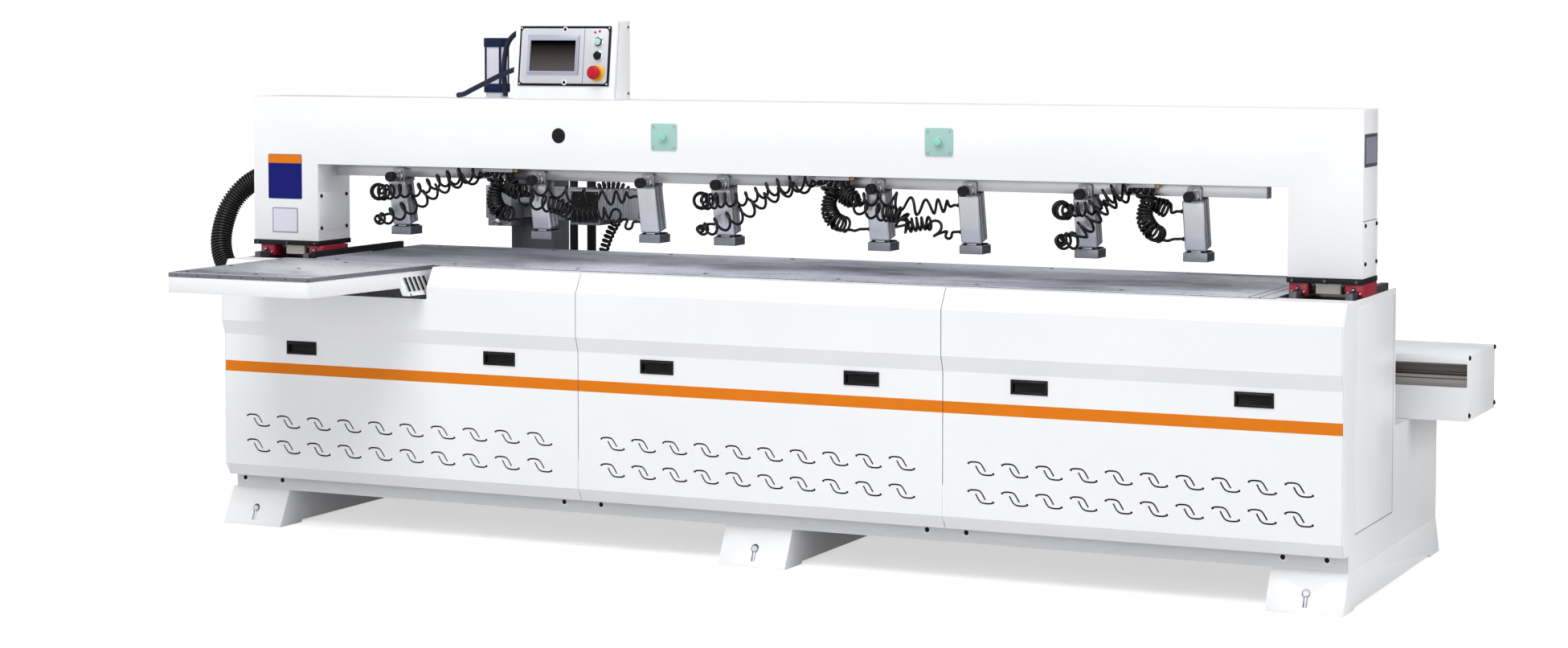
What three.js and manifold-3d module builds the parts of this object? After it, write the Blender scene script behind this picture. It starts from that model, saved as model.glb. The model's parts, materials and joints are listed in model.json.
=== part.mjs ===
// Side hole drilling machine for cabinet panels: a long cabinet with a fixed table, a beam on rails
// with eight tilted air clamps, and a drilling unit that runs along a bed behind the table.
// Millimetres. X runs along the machine from the cabinet's left end, Y from the operator to the back,
// Z up from the floor. The whole is moved at the end so that the origin lies under its middle.
import * as THREE from 'three';
import { mergeVertices } from 'three/addons/utils/BufferGeometryUtils.js';
import Module from 'manifold-3d';

const wasm = await Module();
wasm.setup();

// Shared values
const fit = 0.3;                // gap between pieces that touch
const overrun = 6;              // how far a cutting shape runs past what it cuts
const overlap = 6;              // how far a shape runs into the one it is joined to
const weld = 0.0001;            // vertices closer than this are one
const roundSides = 12;          // sides of a small round shape
const wideSides = 16;           // sides of a round shape that shows
const fewSides = 8;             // sides of a round shape that hardly shows
const fineness = 4;             // steps between two points of a tube when its gaps are measured

// Cabinet
const cabinetLength = 3420;
const sheet = 3;                // thickness of the folded sheet
const seamShares = [0.3541, 0.6801];    // seams between the front panels, along the cabinet
const seamGap = 2;
const footHeight = 105;
const skirtBottom = 148;        // lowest edge of the front panels
const skirtInset = 21;          // how far that edge lies behind the front face
const kickTop = 184;
const beltBottom = 575;         // the front bulges between these two heights
const beltTop = 617;
const bulge = 14;
const shoulderTop = 742;
const lipInset = 20;            // the front panels lean back to here
const flangeEnd = 70;           // back edge of their top flange
const panelTop = 797;
const tallDepth = 530;          // depth of the cabinet's tall part
const lowDepth = 1023;          // depth of its low part
const lowHeight = 424;
const tallWallTop = 742;        // top of the wall behind the tall part
const endCoverBand = 16;        // the end panel's raised cover stays this far inside its edges
const endCoverInset = 114;
const endCoverBottom = 197;
const endCoverProud = 2;

// Handles in the front panels, one near each end of a panel
const handleShares = [0.225, 0.787];
const handleWidth = 98;
const handleHeight = 38;
const handleDepth = 15;
const handleLevel = 543;        // height of their middle

// Welded frame
const railSize = 50;            // width of a frame channel
const railWall = 5;
const frameFront = 62;          // front of the posts and the top rails
const sillFront = 57;
const sillTop = 150;
const backPostFront = 465;
const topRailHeight = 60;
const armReach = 215;           // how far the table's arms reach past the back posts
const armCount = 4;
const armHeight = 40;

// Feet
const footWidth = 205;
const footFront = 5;
const footRear = 1071;
const footTopFront = 58;
const footWall = 8;
const padLength = 114;
const padRelief = 7;            // how far the foot's middle stays off the floor
const middleFootShare = 0.4825; // its left side, along the cabinet
const levelSlotWidth = 12;
const levelSlotTop = 49;
const levelHoleRadius = 12;

// Tables
const tableTop = 800;
const tableThick = 14;
const tableLeft = 235;
const tableRightInset = 205;    // from the cabinet's right end
const tableBack = 735;
const extensionReach = 472;     // how far the extension table reaches in front of the cabinet
const extensionLeft = 150;
const extensionRight = 622;     // at its front edge
const extensionRoot = 693;      // at the cabinet
const extensionTabEnd = 107;
const trayDepth = 44;
const traySide = 3;
const trayBack = 61;
const notchBottom = 706;        // the left front panel is cut out for the tray above here
const notchRight = 719;
const hoodFront = -80;
const hoodBack = 25;
const hoodTop = 778;
const hoodBottom = 720;
const hoodReach = 30;           // how far its foot stands out from the tray's side
const hoodDeep = 23;            // between its sloping outer and inner sides
const hoodWall = 2;
const hoodSlots = 5;
const hoodSlotWidth = 6;
const hoodFirstSlot = 8.5;      // from its front end
const hoodSlotPitch = 20.4;
const hoodSlotShares = [0.13, 0.8];     // from its top
const fenceWidth = 16;
const fenceHeight = 20;
const fenceFront = 112;
const fenceBack = 602;

// Gantry beam
const beamLeft = -15;
const beamRight = cabinetLength - sheet;
const beamFront = 180;
const beamDepth = 147;
const beamTop = 1282;
const beamBottom = 1079;
const leftLegInner = 217;
const leftLegDepth = 171;
const rightLegWidth = 198;
const legBottom = 846;
const beamWall = 4;
const footPlateThick = 14.4;
const footPlateLip = 2;
const beamButtonShares = [0.4076, 0.655];       // along the cabinet
const beamButtonLevel = 1180;
const switchPlateWidth = 82;
const switchPlateHeight = 76;
const switchPlateThick = 3;

// Rails that carry the gantry
const guidePlateThick = 14;
const guidePlateTop = 790;
const guideFront = 108;
const guideBack = 505;
const guideRailFront = 130;
const guideRailWidth = 20;
const guideRailTop = 812;
const leftGuides = [30, 205];   // middles of the rails under the left leg
const rightGuideInsets = [173, 25];     // and of those under the right leg, from the cabinet's right end
const carriageWidth = 50;
const carriageLength = 135;
const carriageFront = 185;
const carriageBottom = 799;
const nutWidth = 66;
const nutLength = 100;
const nutBottom = 803;
const nutFlange = 90;
const nutFlangeThick = 6;

// Clamps
const clampShares = [0.1367, 0.2781, 0.383, 0.4536, 0.5942, 0.6746, 0.7725, 0.862];     // along the cabinet
const clampTilt = THREE.MathUtils.degToRad(12);
const clampRailFront = 250;
const clampRailSize = 35;
const clampRailLeft = 240;
const clampRailRightGap = 78;   // from the right leg
const railGrooveDepth = 4;
const railGrooveShares = [0.38, 0.62];
const bracketWidth = 40;
const bracketWall = 13;
const bracketTopGap = 7;
const bracketRound = 9;
const cylinderWidth = 60;
const cylinderDepth = 52;
const cylinderLength = 136;
const cylinderTopY = 247;       // middle of the cylinder's upper end
const cylinderTopDrop = 41;     // below the beam
const cylinderCorner = 4;
const grooveWidth = 8;
const grooveDepth = 3;
const grooveOffset = 11;
const rodRadius = 8;
const rodGrip = 90;             // length of rod inside the cylinder at rest
const boreLength = 110;
const portShares = [0.26, 0.82];
const portRadius = 6;
const portReach = 12;
const knobBarrelRadius = 11;
const knobBarrelLength = 33;
const knobRadius = 15;
const knobLength = 22;
const knobDrop = 33;            // knob's axis below the beam
const clampFootWidth = 68;
const clampFootDepth = 66;
const clampFootThick = 24;
const clampFootLevel = 870;     // its underside
const wearPlateShare = 0.68;
const wearPlateThick = 5;

// Curly air hoses
const hoseRadius = 4;
const curlRadius = 22;          // from the middle of the curls to the middle of the hose
const curlsPerHose = 5;
const stepsPerCurl = 8;
const hoseSides = 5;
const hoseRampShare = 0.2;      // share of the route over which the curls open and close
const manifoldShares = [0.2427, 0.5585, 0.8231];        // their middles, along the cabinet
const manifoldDepth = 26;
const manifoldThick = 12;
const manifoldFront = 202;
const hosePitch = 17;           // between outlets along a manifold
const hoseDrop = 2 * hoseRadius;

// Drilling unit and its bed
const bedOverhang = 160;        // past the cabinet's right end
const bedLeft = 20;
const bedFront = 690;
const bedBack = 1030;
const bedBottom = lowHeight + fit;
const bedTop = 603;
const bedSlotBottom = 517;
const bedSlotTop = 581;
const bedRailFront = 705;
const bedRailBack = 800;
const bedRailWall = 8;
const bedRailFoot = 20;
const bedRailGap = 6;           // under the cover's top
const columnLeft = 464;
const columnWidth = 158;
const columnFront = 905;
const columnDepth = 95;
const columnTop = 1262;
const armFront = 640;
const armThick = 46;
const armSide = 32;
const saddleRight = 840;
const saddleBottom = 608;
const slideThick = 24.4;
const slideLeft = 384;
const slideRight = 850;
const slideBottom = 880;
const slideTop = 985;
const headDepth = 80;
const headFront = 800;
const headBridgeBottom = 935;
const headStep = 6;             // its bridge lies this far below its two blocks' tops
const leftHeadWidth = 83;
const leftHeadLeft = 440;
const leftHeadBottom = 862;
const rightHeadLeft = 737;
const rightHeadWidth = 106;
const rightHeadBottom = 873;
const motorLength = 135;
const motorBottom = 895;
const motorTop = 984;
const motorFins = 6;
const motorFinDepth = 4;
const guideRodRadius = 10;
const guideRodLength = 84;
const guideRodInset = 26;
const guideRodOffset = 12;      // left rod's middle from the column's left side
const spindleLevel = 876;
const spindleRadius = 11;
const spindleSeat = 30;
const bitRadius = 4;
const bitLength = 33;
const chuckLength = 22;
const liftCylinderSide = 60;
const liftCylinderMiddle = 422;
const liftCylinderLength = 194; // above the column
const liftCapHeight = 28.5;
const liftNeck = 20;            // between the column and the lower cap
const liftBarrelShare = 0.84;
const liftRodRadius = 10;
const liftRodShare = 0.464;     // how far up the cylinder the rod reaches
const liftBoreShare = 0.608;
const mountPlateThick = 30;

// Cable conduit between the gantry and the cabinet
const conduitRadius = 33;
const conduitValley = 29;
const conduitBore = 24;
const conduitRibs = 30;
const conduitSides = 8;
const ribsPerBoreRing = 5;
const conduitApart = 10;        // points between two places whose gap is measured
const conduitExit = { x: 60, z: 1052 };      // in the back of the left leg
const conduitEntry = { y: 335, z: 700 };     // in the cabinet's left end

// Control box on the beam
const boxLeft = 895;
const boxRight = 1229;
const boxDepth = 105;
const boxHeight = 228;
const boxWall = 3;
const boxTilt = THREE.MathUtils.degToRad(6.8);
const bezelLeft = 917;
const bezelRight = 1214;
const bezelShares = [0.175, 0.939];     // its lower and upper edge up the face
const bezelThick = 3;
const facePlateThick = 2;
const facePlateInset = 9;
const screenLeft = 948;
const screenWidth = 172;
const screenHeightShare = 0.509;        // of the box's height
const screenBottomShare = 0.316;
const screenThick = 6;
const screenBodyInset = 8;
const screenBodyDepth = 34;
const buttonColumn = 1175;
const startShare = 0.737;       // up the face
const resetShare = 0.561;
const stopShare = 0.338;
const buttonStem = 8;
const buttonHead = 12;
const buttonReach = 9;
const buttonTravel = 3;
const stopHead = 20;
const stopReach = 26;
const stopTravel = 5;
const stopRing = 24;
const stemDepth = 28;
const cableRadius = 6;
const cableSides = 8;
const cableLift = 1.3;          // of its radius, so that a cable's faceted side clears the beam

// Places that follow from the sizes above
const [leftSeam, rightSeam] = seamShares.map((share) => cabinetLength * share);
const middleFootLeft = cabinetLength * middleFootShare;
const tableRight = cabinetLength - tableRightInset;
const bedRight = cabinetLength + bedOverhang;
const liftCylinderTop = columnTop + liftCylinderLength;
const liftRodTop = columnTop + liftCylinderLength * liftRodShare;
const liftBoreTop = columnTop + liftCylinderLength * liftBoreShare;
const rightLegInner = beamRight - rightLegWidth;
const beamButtonPlaces = beamButtonShares.map((share) => cabinetLength * share);
const guideMiddles = [leftGuides, rightGuideInsets.map((inset) => cabinetLength - inset)];
const clampPlaces = clampShares.map((share) => cabinetLength * share);
const clampRailRight = rightLegInner - clampRailRightGap;
const boxTop = beamTop + boxHeight;
const [bezelBottom, bezelTop] = bezelShares.map((share) => boxHeight * share);
const screenHeight = boxHeight * screenHeightShare;
const screenBottom = boxHeight * screenBottomShare;
const startLevel = boxHeight * startShare;
const resetLevel = boxHeight * resetShare;
const stopLevel = boxHeight * stopShare;

// Colours
const white = { color: 0xf2f3f5, roughness: 0.45, metalness: 0.05 };
const frameGrey = { color: 0xe4e6e9, roughness: 0.5, metalness: 0.1 };
const tableGrey = { color: 0x868a94, roughness: 0.6, metalness: 0.3 };
const steel = { color: 0xb9bcc1, roughness: 0.35, metalness: 0.9 };
const clampGrey = { color: 0xa9abb2, roughness: 0.4, metalness: 0.7 };
const darkGrey = { color: 0x4a4d53, roughness: 0.5, metalness: 0.4 };
const black = { color: 0x17181a, roughness: 0.55, metalness: 0.1 };
const crimson = { color: 0xb01236, roughness: 0.45, metalness: 0.1 };
const cream = { color: 0xe6dfce, roughness: 0.6, metalness: 0.1 };
const mint = { color: 0x9fd8c6, roughness: 0.4, metalness: 0 };
const stopRed = { color: 0xc8171e, roughness: 0.4, metalness: 0 };
const navy = { color: 0x1b2a52, roughness: 0.45, metalness: 0.3 };
const screenGrey = { color: 0x4a4542, roughness: 0.2, metalness: 0.1 };
const silver = { color: 0xd3d6dc, roughness: 0.4, metalness: 0.6 };

// Shapes

// A box between two corners. Its corners are set, not scaled, so that boxes that share a plane share it
// exactly.
function block(x0, x1, y0, y1, z0, z1) {
  const shape = new THREE.BoxGeometry();
  const corners = shape.getAttribute('position');
  for (let i = 0; i < corners.count; i += 1) {
    corners.setXYZ(i, corners.getX(i) < 0 ? x0 : x1, corners.getY(i) < 0 ? y0 : y1,
      corners.getZ(i) < 0 ? z0 : z1);
  }
  return shape;
}

function extruded(outline, from, to) {
  const shape = new THREE.ExtrudeGeometry(new THREE.Shape(outline.map(([a, b]) => new THREE.Vector2(a, b))),
    { depth: 1, bevelEnabled: false });
  const ends = shape.getAttribute('position');
  for (let i = 0; i < ends.count; i += 1) ends.setZ(i, ends.getZ(i) < 1 / 2 ? from : to);
  return shape;
}

// An outline of [y, z] points along X
function alongX(outline, x0, x1) {
  const turn = new THREE.Matrix4().makeBasis(
    new THREE.Vector3(0, 1, 0), new THREE.Vector3(0, 0, 1), new THREE.Vector3(1, 0, 0));
  return extruded(outline, x0, x1).applyMatrix4(turn);
}

// An outline of [x, z] points along Y
function alongY(outline, y0, y1) {
  const turn = new THREE.Matrix4().makeBasis(
    new THREE.Vector3(1, 0, 0), new THREE.Vector3(0, 0, 1), new THREE.Vector3(0, -1, 0));
  return extruded(outline, -y1, -y0).applyMatrix4(turn);
}

// An outline of [x, y] points along Z
function alongZ(outline, z0, z1) {
  return extruded(outline, z0, z1);
}

// Round bars
function barX(radius, x0, x1, y, z, sides = roundSides) {
  return new THREE.CylinderGeometry(radius, radius, x1 - x0, sides).rotateZ(-Math.PI / 2)
    .translate((x0 + x1) / 2, y, z);
}

function barY(radius, x, y0, y1, z, sides = roundSides) {
  return new THREE.CylinderGeometry(radius, radius, y1 - y0, sides)
    .translate(x, (y0 + y1) / 2, z);
}

function barZ(radius, x, y, z0, z1, sides = roundSides) {
  return new THREE.CylinderGeometry(radius, radius, z1 - z0, sides).rotateX(Math.PI / 2)
    .translate(x, y, (z0 + z1) / 2);
}

// The closed outline of a folded sheet: the points run along its outer side, and its thickness lies
// on their right
function foldedSheet(points, thickness) {
  const way = (a, b) => new THREE.Vector2(b[0] - a[0], b[1] - a[1]).normalize();
  const inner = points.map((point, i) => {
    const before = way(points[Math.max(i - 1, 0)], points[Math.max(i, 1)]);
    const after = way(points[Math.min(i, points.length - 2)], points[Math.min(i + 1, points.length - 1)]);
    const middle = before.clone().add(after).normalize();
    const reach = thickness / Math.max(middle.dot(after), 1 / 2);
    return [point[0] + middle.y * reach, point[1] - middle.x * reach];
  });
  return [...points, ...inner.reverse()];
}

function roundedBox(width, depth, corner) {
  const [a, b] = [width / 2, depth / 2];
  return [
    [-a + corner, -b], [a - corner, -b], [a, -b + corner], [a, b - corner],
    [a - corner, b], [-a + corner, b], [-a, b - corner], [-a, -b + corner],
  ];
}

// Solids: joins and cuts

function toSolid(shape) {
  if (!(shape instanceof THREE.BufferGeometry)) return shape;
  const bare = new THREE.BufferGeometry();
  bare.setAttribute('position', shape.getAttribute('position'));
  if (shape.index) bare.setIndex(shape.index);
  const merged = mergeVertices(bare, weld);
  return new wasm.Manifold(new wasm.Mesh({
    numProp: 3,
    vertProperties: new Float32Array(merged.getAttribute('position').array),
    triVerts: new Uint32Array(merged.index.array),
  }));
}

function toShape(solid) {
  if (solid instanceof THREE.BufferGeometry) return solid;
  const { vertProperties, triVerts } = solid.getMesh();
  const shape = new THREE.BufferGeometry();
  shape.setAttribute('position', new THREE.BufferAttribute(new Float32Array(vertProperties), 3));
  shape.setIndex(new THREE.BufferAttribute(new Uint32Array(triVerts), 1));
  return shape;
}

const join = (...shapes) => shapes.map(toSolid).reduce((a, b) => a.add(b));
const cut = (shape, ...tools) => tools.map(toSolid).reduce((a, b) => a.subtract(b), toSolid(shape));
const moved = (shape, matrix) => toShape(shape).clone().applyMatrix4(matrix);

const machine = new THREE.Group();

function add(name, solid, paint, into = machine) {
  const plain = toShape(solid);
  const shape = plain.index ? plain.toNonIndexed() : plain;
  shape.computeVertexNormals();
  const mesh = new THREE.Mesh(shape, new THREE.MeshStandardMaterial({ ...paint, flatShading: true }));
  mesh.name = name;
  into.add(mesh);
  return mesh;
}

// A channel: a box hollowed out from one side, so it has a web and two flanges
function channel(box, open, wall = railWall) {
  const [x0, x1, y0, y1, z0, z1] = box;
  const inner = [
    x0 + (open === 'left' ? -overrun : wall), x1 - (open === 'right' ? -overrun : wall),
    y0 + (open === 'front' ? -overrun : wall), y1 - (open === 'back' ? -overrun : wall),
    z0 + (open === 'down' ? -overrun : wall), z1 - (open === 'up' ? -overrun : wall),
  ];
  return cut(block(...box), block(...inner));
}

// Feet: bent cross members with a sloping front and back, open underneath
function makeFoot(left) {
  const right = left + footWidth;
  const topBack = lowDepth;
  const outer = [[footFront, 0], [footRear, 0], [topBack, footHeight], [footTopFront, footHeight]];
  const slopeFront = (footTopFront - footFront) / footHeight;
  const slopeBack = (footRear - topBack) / footHeight;
  const innerTop = footHeight - footWall;
  const inner = [
    [footFront + footWall - slopeFront * overrun, -overrun],
    [footRear - footWall + slopeBack * overrun, -overrun],
    [footRear - footWall - slopeBack * innerTop, innerTop],
    [footFront + footWall + slopeFront * innerTop, innerTop],
  ];
  const middle = (left + right) / 2;
  const relief = block(left - overrun, right + overrun, footFront + padLength, footRear - padLength,
    -overrun, padRelief);
  const pads = [footFront + footWall, footRear - footWall - padLength + footWall].map((y) =>
    block(left + footWall / 2, right - footWall / 2, y, y + padLength - footWall, 0, footWall));
  const slot = block(middle - levelSlotWidth / 2, middle + levelSlotWidth / 2,
    -overrun, footTopFront + overrun, footWall + padRelief, levelSlotTop);
  const hole = barY(levelHoleRadius, middle, -overrun, footTopFront + overrun, levelSlotTop);
  const shell = cut(alongX(outer, left, right), alongX(inner, left + footWall, right - footWall));
  return cut(join(cut(shell, relief), ...pads), slot, hole);
}

const footLefts = [beamLeft, middleFootLeft, cabinetLength - footWidth];
['foot_left', 'foot_middle', 'foot_right'].forEach((name, i) => add(name, makeFoot(footLefts[i]), white));

// Welded frame: sills on the feet, posts, top rails, arms under the table and a shelf for the bed
function makeFrame() {
  const [x0, x1] = [sheet + fit, cabinetLength - sheet - fit];
  const bottom = footHeight + fit;
  const railTop = tableTop - tableThick - fit;
  const railBottom = railTop - topRailHeight;
  const lowBack = lowDepth - sheet - fit;
  const lowTop = lowHeight - sheet - fit;
  const postLefts = [
    x0, middleFootLeft + (footWidth - railSize) / 2, x1 - railSize,
  ];
  const parts = [
    channel([x0, x1, sillFront, sillFront + railSize, bottom, sillTop], 'back'),
    channel([x0, x1, lowBack - railSize, lowBack, bottom, sillTop], 'front'),
    channel([x0, x1, frameFront, frameFront + railSize - railWall, railBottom, railTop], 'back'),
    channel([x0, x1, backPostFront, backPostFront + railSize, railBottom, railTop], 'front'),
    channel([x0, x1, lowBack - railSize, lowBack, lowTop - railSize, lowTop], 'front'),
    channel([x0, x1, backPostFront, backPostFront + railSize, lowTop - railSize, lowTop], 'front'),
  ];
  postLefts.forEach((left, i) => {
    const open = i === postLefts.length - 1 ? 'left' : 'right';
    const right = left + railSize;
    if (i === 1) {
      parts.push(channel([left, right, frameFront + railWall, backPostFront + railWall, railBottom,
        railTop - guidePlateThick], open));
    }
    parts.push(
      channel([left, right, sillFront + railWall, lowBack - railWall, bottom, sillTop], open),
      channel([left, right, frameFront, frameFront + railSize - railWall, bottom, railTop], open),
      channel([left, right, backPostFront, backPostFront + railSize, bottom, railTop], open),
      channel([left, right, lowBack - railSize, lowBack, bottom, lowTop], open),
      channel([left, right, backPostFront + railWall, lowBack - railWall, lowTop - railSize, lowTop], open),
    );
  });
  const armStep = (tableRight - tableLeft) / armCount;
  for (let i = 0; i < armCount; i += 1) {
    const middle = tableLeft + armStep * (i + 1 / 2);
    const arm = [middle - railSize / 2, middle + railSize / 2];
    parts.push(channel([...arm, frameFront + railWall, backPostFront + railSize + armReach,
      railTop - armHeight, railTop], 'down'));
  }
  // Shelves that carry the guide plates of the gantry, let into the top rails
  const shelfTop = guidePlateTop - guidePlateThick - fit;
  const shelves = [[x0, tableLeft - fit], [tableRight + fit, x1]].map(([a, b]) => block(a, b,
    frameFront + railWall, backPostFront + railSize, shelfTop - 2 * railWall, shelfTop));
  const seats = [[x0 - overrun, tableLeft - fit], [tableRight + fit, x1 + overrun]].map(([a, b]) => block(
    a, b, guideFront - fit, backPostFront + railSize + overrun, shelfTop, railTop + overrun));
  return cut(join(...parts, ...shelves), ...seats);
}

add('base_frame', makeFrame(), frameGrey);

// Front panels
const frontFold = [
  [skirtInset, skirtBottom], [0, kickTop], [0, beltBottom], [-bulge, beltTop], [-bulge, shoulderTop],
  [lipInset, panelTop], [flangeEnd, panelTop],
];

function makeFrontPanel(x0, x1) {
  let panel = toSolid(alongX(foldedSheet(frontFold, sheet), x0, x1));
  handleShares.forEach((share) => {
    const middle = x0 + (x1 - x0) * share;
    const [a, b] = [middle - handleWidth / 2, middle + handleWidth / 2];
    const [c, d] = [handleLevel - handleHeight / 2, handleLevel + handleHeight / 2];
    const cup = block(a - sheet, b + sheet, sheet / 2, handleDepth + sheet, c - sheet, d + sheet);
    panel = cut(join(panel, cup), block(a, b, -overrun, handleDepth, c, d));
  });
  return panel;
}

const panelLeft = sheet + fit;
const panelRight = cabinetLength - sheet - fit;
const notch = block(extensionLeft - fit, notchRight, -bulge - overrun, guideFront + overrun, notchBottom,
  panelTop + overrun);
add('front_panel_left', cut(makeFrontPanel(panelLeft, leftSeam - seamGap / 2), notch), white);
add('front_panel_middle', makeFrontPanel(leftSeam + seamGap / 2, rightSeam - seamGap / 2), white);
add('front_panel_right', makeFrontPanel(rightSeam + seamGap / 2, panelRight), white);

// End panels: the cabinet's side outline, tall in front and low behind, with a raised cover and a deck
// in front of the guide rails
const sideOutline = [
  [sillFront, footHeight + fit], [sillFront, skirtBottom], ...frontFold.slice(0, -1),
  [tallDepth, panelTop], [tallDepth, lowHeight], [lowDepth, lowHeight], [lowDepth, footHeight + fit],
];

function makeEndPanel(x0, outward, deckEnd) {
  const coverBack = tallDepth - endCoverBand * 2;
  const coverTop = panelTop - endCoverBand;
  const face = outward > 0 ? x0 + sheet : x0;
  const cover = block(Math.min(face, face + outward * endCoverProud) - (outward > 0 ? sheet / 2 : 0),
    Math.max(face, face + outward * endCoverProud) + (outward > 0 ? 0 : sheet / 2),
    endCoverInset, coverBack, endCoverBottom, coverTop);
  const deck = block(Math.min(deckEnd, x0 + sheet / 2), Math.max(deckEnd, x0 + sheet / 2), flangeEnd + fit,
    guideFront - fit, panelTop - sheet, panelTop);
  return join(alongX(sideOutline, x0, x0 + sheet), cover, deck);
}

const leftEndHole = barX(conduitBore, -overrun, sheet + overrun, conduitEntry.y, conduitEntry.z);
add('end_panel_left', cut(makeEndPanel(0, -1, extensionLeft - fit), leftEndHole), white);
add('end_panel_right', makeEndPanel(cabinetLength - sheet, 1, tableRight + fit), white);

// Back panel: the wall of the tall part, the roof of the low part and its back wall in one folded sheet
const backFold = [
  [lowDepth, footHeight + fit], [lowDepth, lowHeight], [tallDepth, lowHeight], [tallDepth, tallWallTop],
];
const backOutline = foldedSheet(backFold.map(([y, z]) => [-y, z]), sheet).map(([y, z]) => [-y, z]).reverse();
add('back_panel', alongX(backOutline, panelLeft, panelRight), white);

// Tables
const tableBottom = tableTop - tableThick;
const table = block(tableLeft, tableRight, flangeEnd + fit, tableBack, tableBottom, tableTop);
const fence = block(tableLeft + fit, tableLeft + fit + fenceWidth, fenceFront, fenceBack,
  tableTop - fit, tableTop + fenceHeight);
add('main_table', join(table, fence), tableGrey);

const extensionOutline = [
  [extensionLeft, -extensionReach], [extensionRight, -extensionReach], [extensionRoot, flangeEnd],
  [tableLeft - fit, flangeEnd], [tableLeft - fit, extensionTabEnd], [extensionLeft, extensionTabEnd],
];
add('extension_table', alongZ(extensionOutline, tableBottom, tableTop), tableGrey);

// The extension's tray runs into the cabinet, and a slotted hood hangs on its tapered side
function makeTray() {
  const top = tableBottom - fit;
  const bottom = top - trayDepth;
  const taper = (extensionRoot - extensionRight) / (flangeEnd + extensionReach);
  const sideAt = (y) => extensionRight + (y + extensionReach) * taper;
  const outline = (inset) => [
    [extensionLeft + inset, -extensionReach + inset], [extensionRight - inset, -extensionReach + inset],
    [sideAt(trayBack - inset) - inset, trayBack - inset], [extensionLeft + inset, trayBack - inset],
  ];
  const tray = cut(alongZ(outline(0), bottom, top),
    alongZ(outline(traySide), bottom + traySide, top + overrun));
  const lean = hoodReach / (hoodTop - hoodBottom);
  const skew = Math.hypot(1, lean);
  const duct = (inset) => {
    const [high, low] = [hoodTop - inset, hoodBottom - (inset ? overrun : 0)];
    const [near, far] = [(hoodTop - high) * lean, (hoodTop - low) * lean];
    return [
      [near - hoodDeep + inset * skew, high], [near - inset * skew, high], [far - inset * skew, low],
      [far - hoodDeep + inset * skew, low],
    ];
  };
  const length = hoodBack - hoodFront;
  const solid = alongY(duct(0), 0, length);
  const hollow = alongY(duct(hoodWall), hoodWall, length - hoodWall);
  const slotDrops = hoodSlotShares.map((share) => (hoodTop - hoodBottom) * share);
  const slotOutline = [
    [slotDrops[1] * lean - hoodWall * 2, hoodTop - slotDrops[1]], [slotDrops[1] * lean + overrun,
      hoodTop - slotDrops[1]], [slotDrops[0] * lean + overrun, hoodTop - slotDrops[0]],
    [slotDrops[0] * lean - hoodWall * 2, hoodTop - slotDrops[0]],
  ];
  const slots = Array.from({ length: hoodSlots }, (_, i) => {
    const middle = hoodFirstSlot + hoodSlotPitch * i;
    return alongY(slotOutline, middle - hoodSlotWidth / 2, middle + hoodSlotWidth / 2);
  });
  const place = new THREE.Matrix4().makeRotationZ(-Math.atan(taper))
    .setPosition(sideAt(hoodFront), hoodFront, 0);
  const hood = cut(solid, hollow, ...slots, block(-hoodDeep - overrun, -traySide / 2, -overrun,
    length + overrun, bottom - fit, hoodTop + overrun));
  return join(tray, moved(hood, place));
}

add('extension_tray', makeTray(), white);

// Guide rails of the gantry, and what runs on them
const guideWidths = [
  [sheet + fit * 2, tableLeft - fit * 2], [tableRight + fit * 2, cabinetLength - sheet - fit * 2],
];

function makeGuide(side) {
  const [x0, x1] = guideWidths[side];
  const plate = block(x0, x1, guideFront, guideBack, guidePlateTop - guidePlateThick, guidePlateTop);
  const rails = guideMiddles[side].map((x) => block(x - guideRailWidth / 2, x + guideRailWidth / 2,
    guideRailFront, guideBack, guidePlateTop - fit, guideRailTop));
  return join(plate, ...rails);
}

function makeCarriage(middle) {
  const top = legBottom - footPlateThick - 2 * fit;
  const body = block(middle - carriageWidth / 2, middle + carriageWidth / 2, carriageFront,
    carriageFront + carriageLength, carriageBottom, top);
  const track = block(middle - guideRailWidth / 2 - fit, middle + guideRailWidth / 2 + fit,
    carriageFront - overrun, carriageFront + carriageLength + overrun, carriageBottom - overrun,
    guideRailTop + fit);
  return cut(body, track);
}

function makeNut(middle) {
  const top = legBottom - footPlateThick - 2 * fit;
  const back = carriageFront + carriageLength / 2 + nutLength / 2;
  return join(
    block(middle - nutWidth / 2, middle + nutWidth / 2, back - nutLength, back, nutBottom, top),
    block(middle - nutFlange / 2, middle + nutFlange / 2, back - nutLength, back,
      top - nutFlangeThick, top));
}

function makeFootPlate(x0, x1, depth) {
  return block(x0 - footPlateLip, x1 + footPlateLip, beamFront - footPlateLip,
    beamFront + depth + footPlateLip, legBottom - footPlateThick - fit, legBottom - fit);
}

['left', 'right'].forEach((side, i) => {
  add(`guide_rails_${side}`, makeGuide(i), steel);
  guideMiddles[i].forEach((middle, j) => {
    const place = (j === 0) === (i === 0) ? 'outer' : 'inner';
    add(`carriage_${side}_${place}`, makeCarriage(middle), crimson);
  });
  add(`screw_nut_${side}`, makeNut((guideMiddles[i][0] + guideMiddles[i][1]) / 2), cream);
});
add('base_plate_left', makeFootPlate(beamLeft, leftLegInner, leftLegDepth), black);
add('base_plate_right', makeFootPlate(rightLegInner, beamRight, beamDepth), black);

// Gantry beam: a folded box with two hollow legs, the left one deeper
const beamBack = beamFront + beamDepth;
const leftLegBack = beamFront + leftLegDepth;

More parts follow.
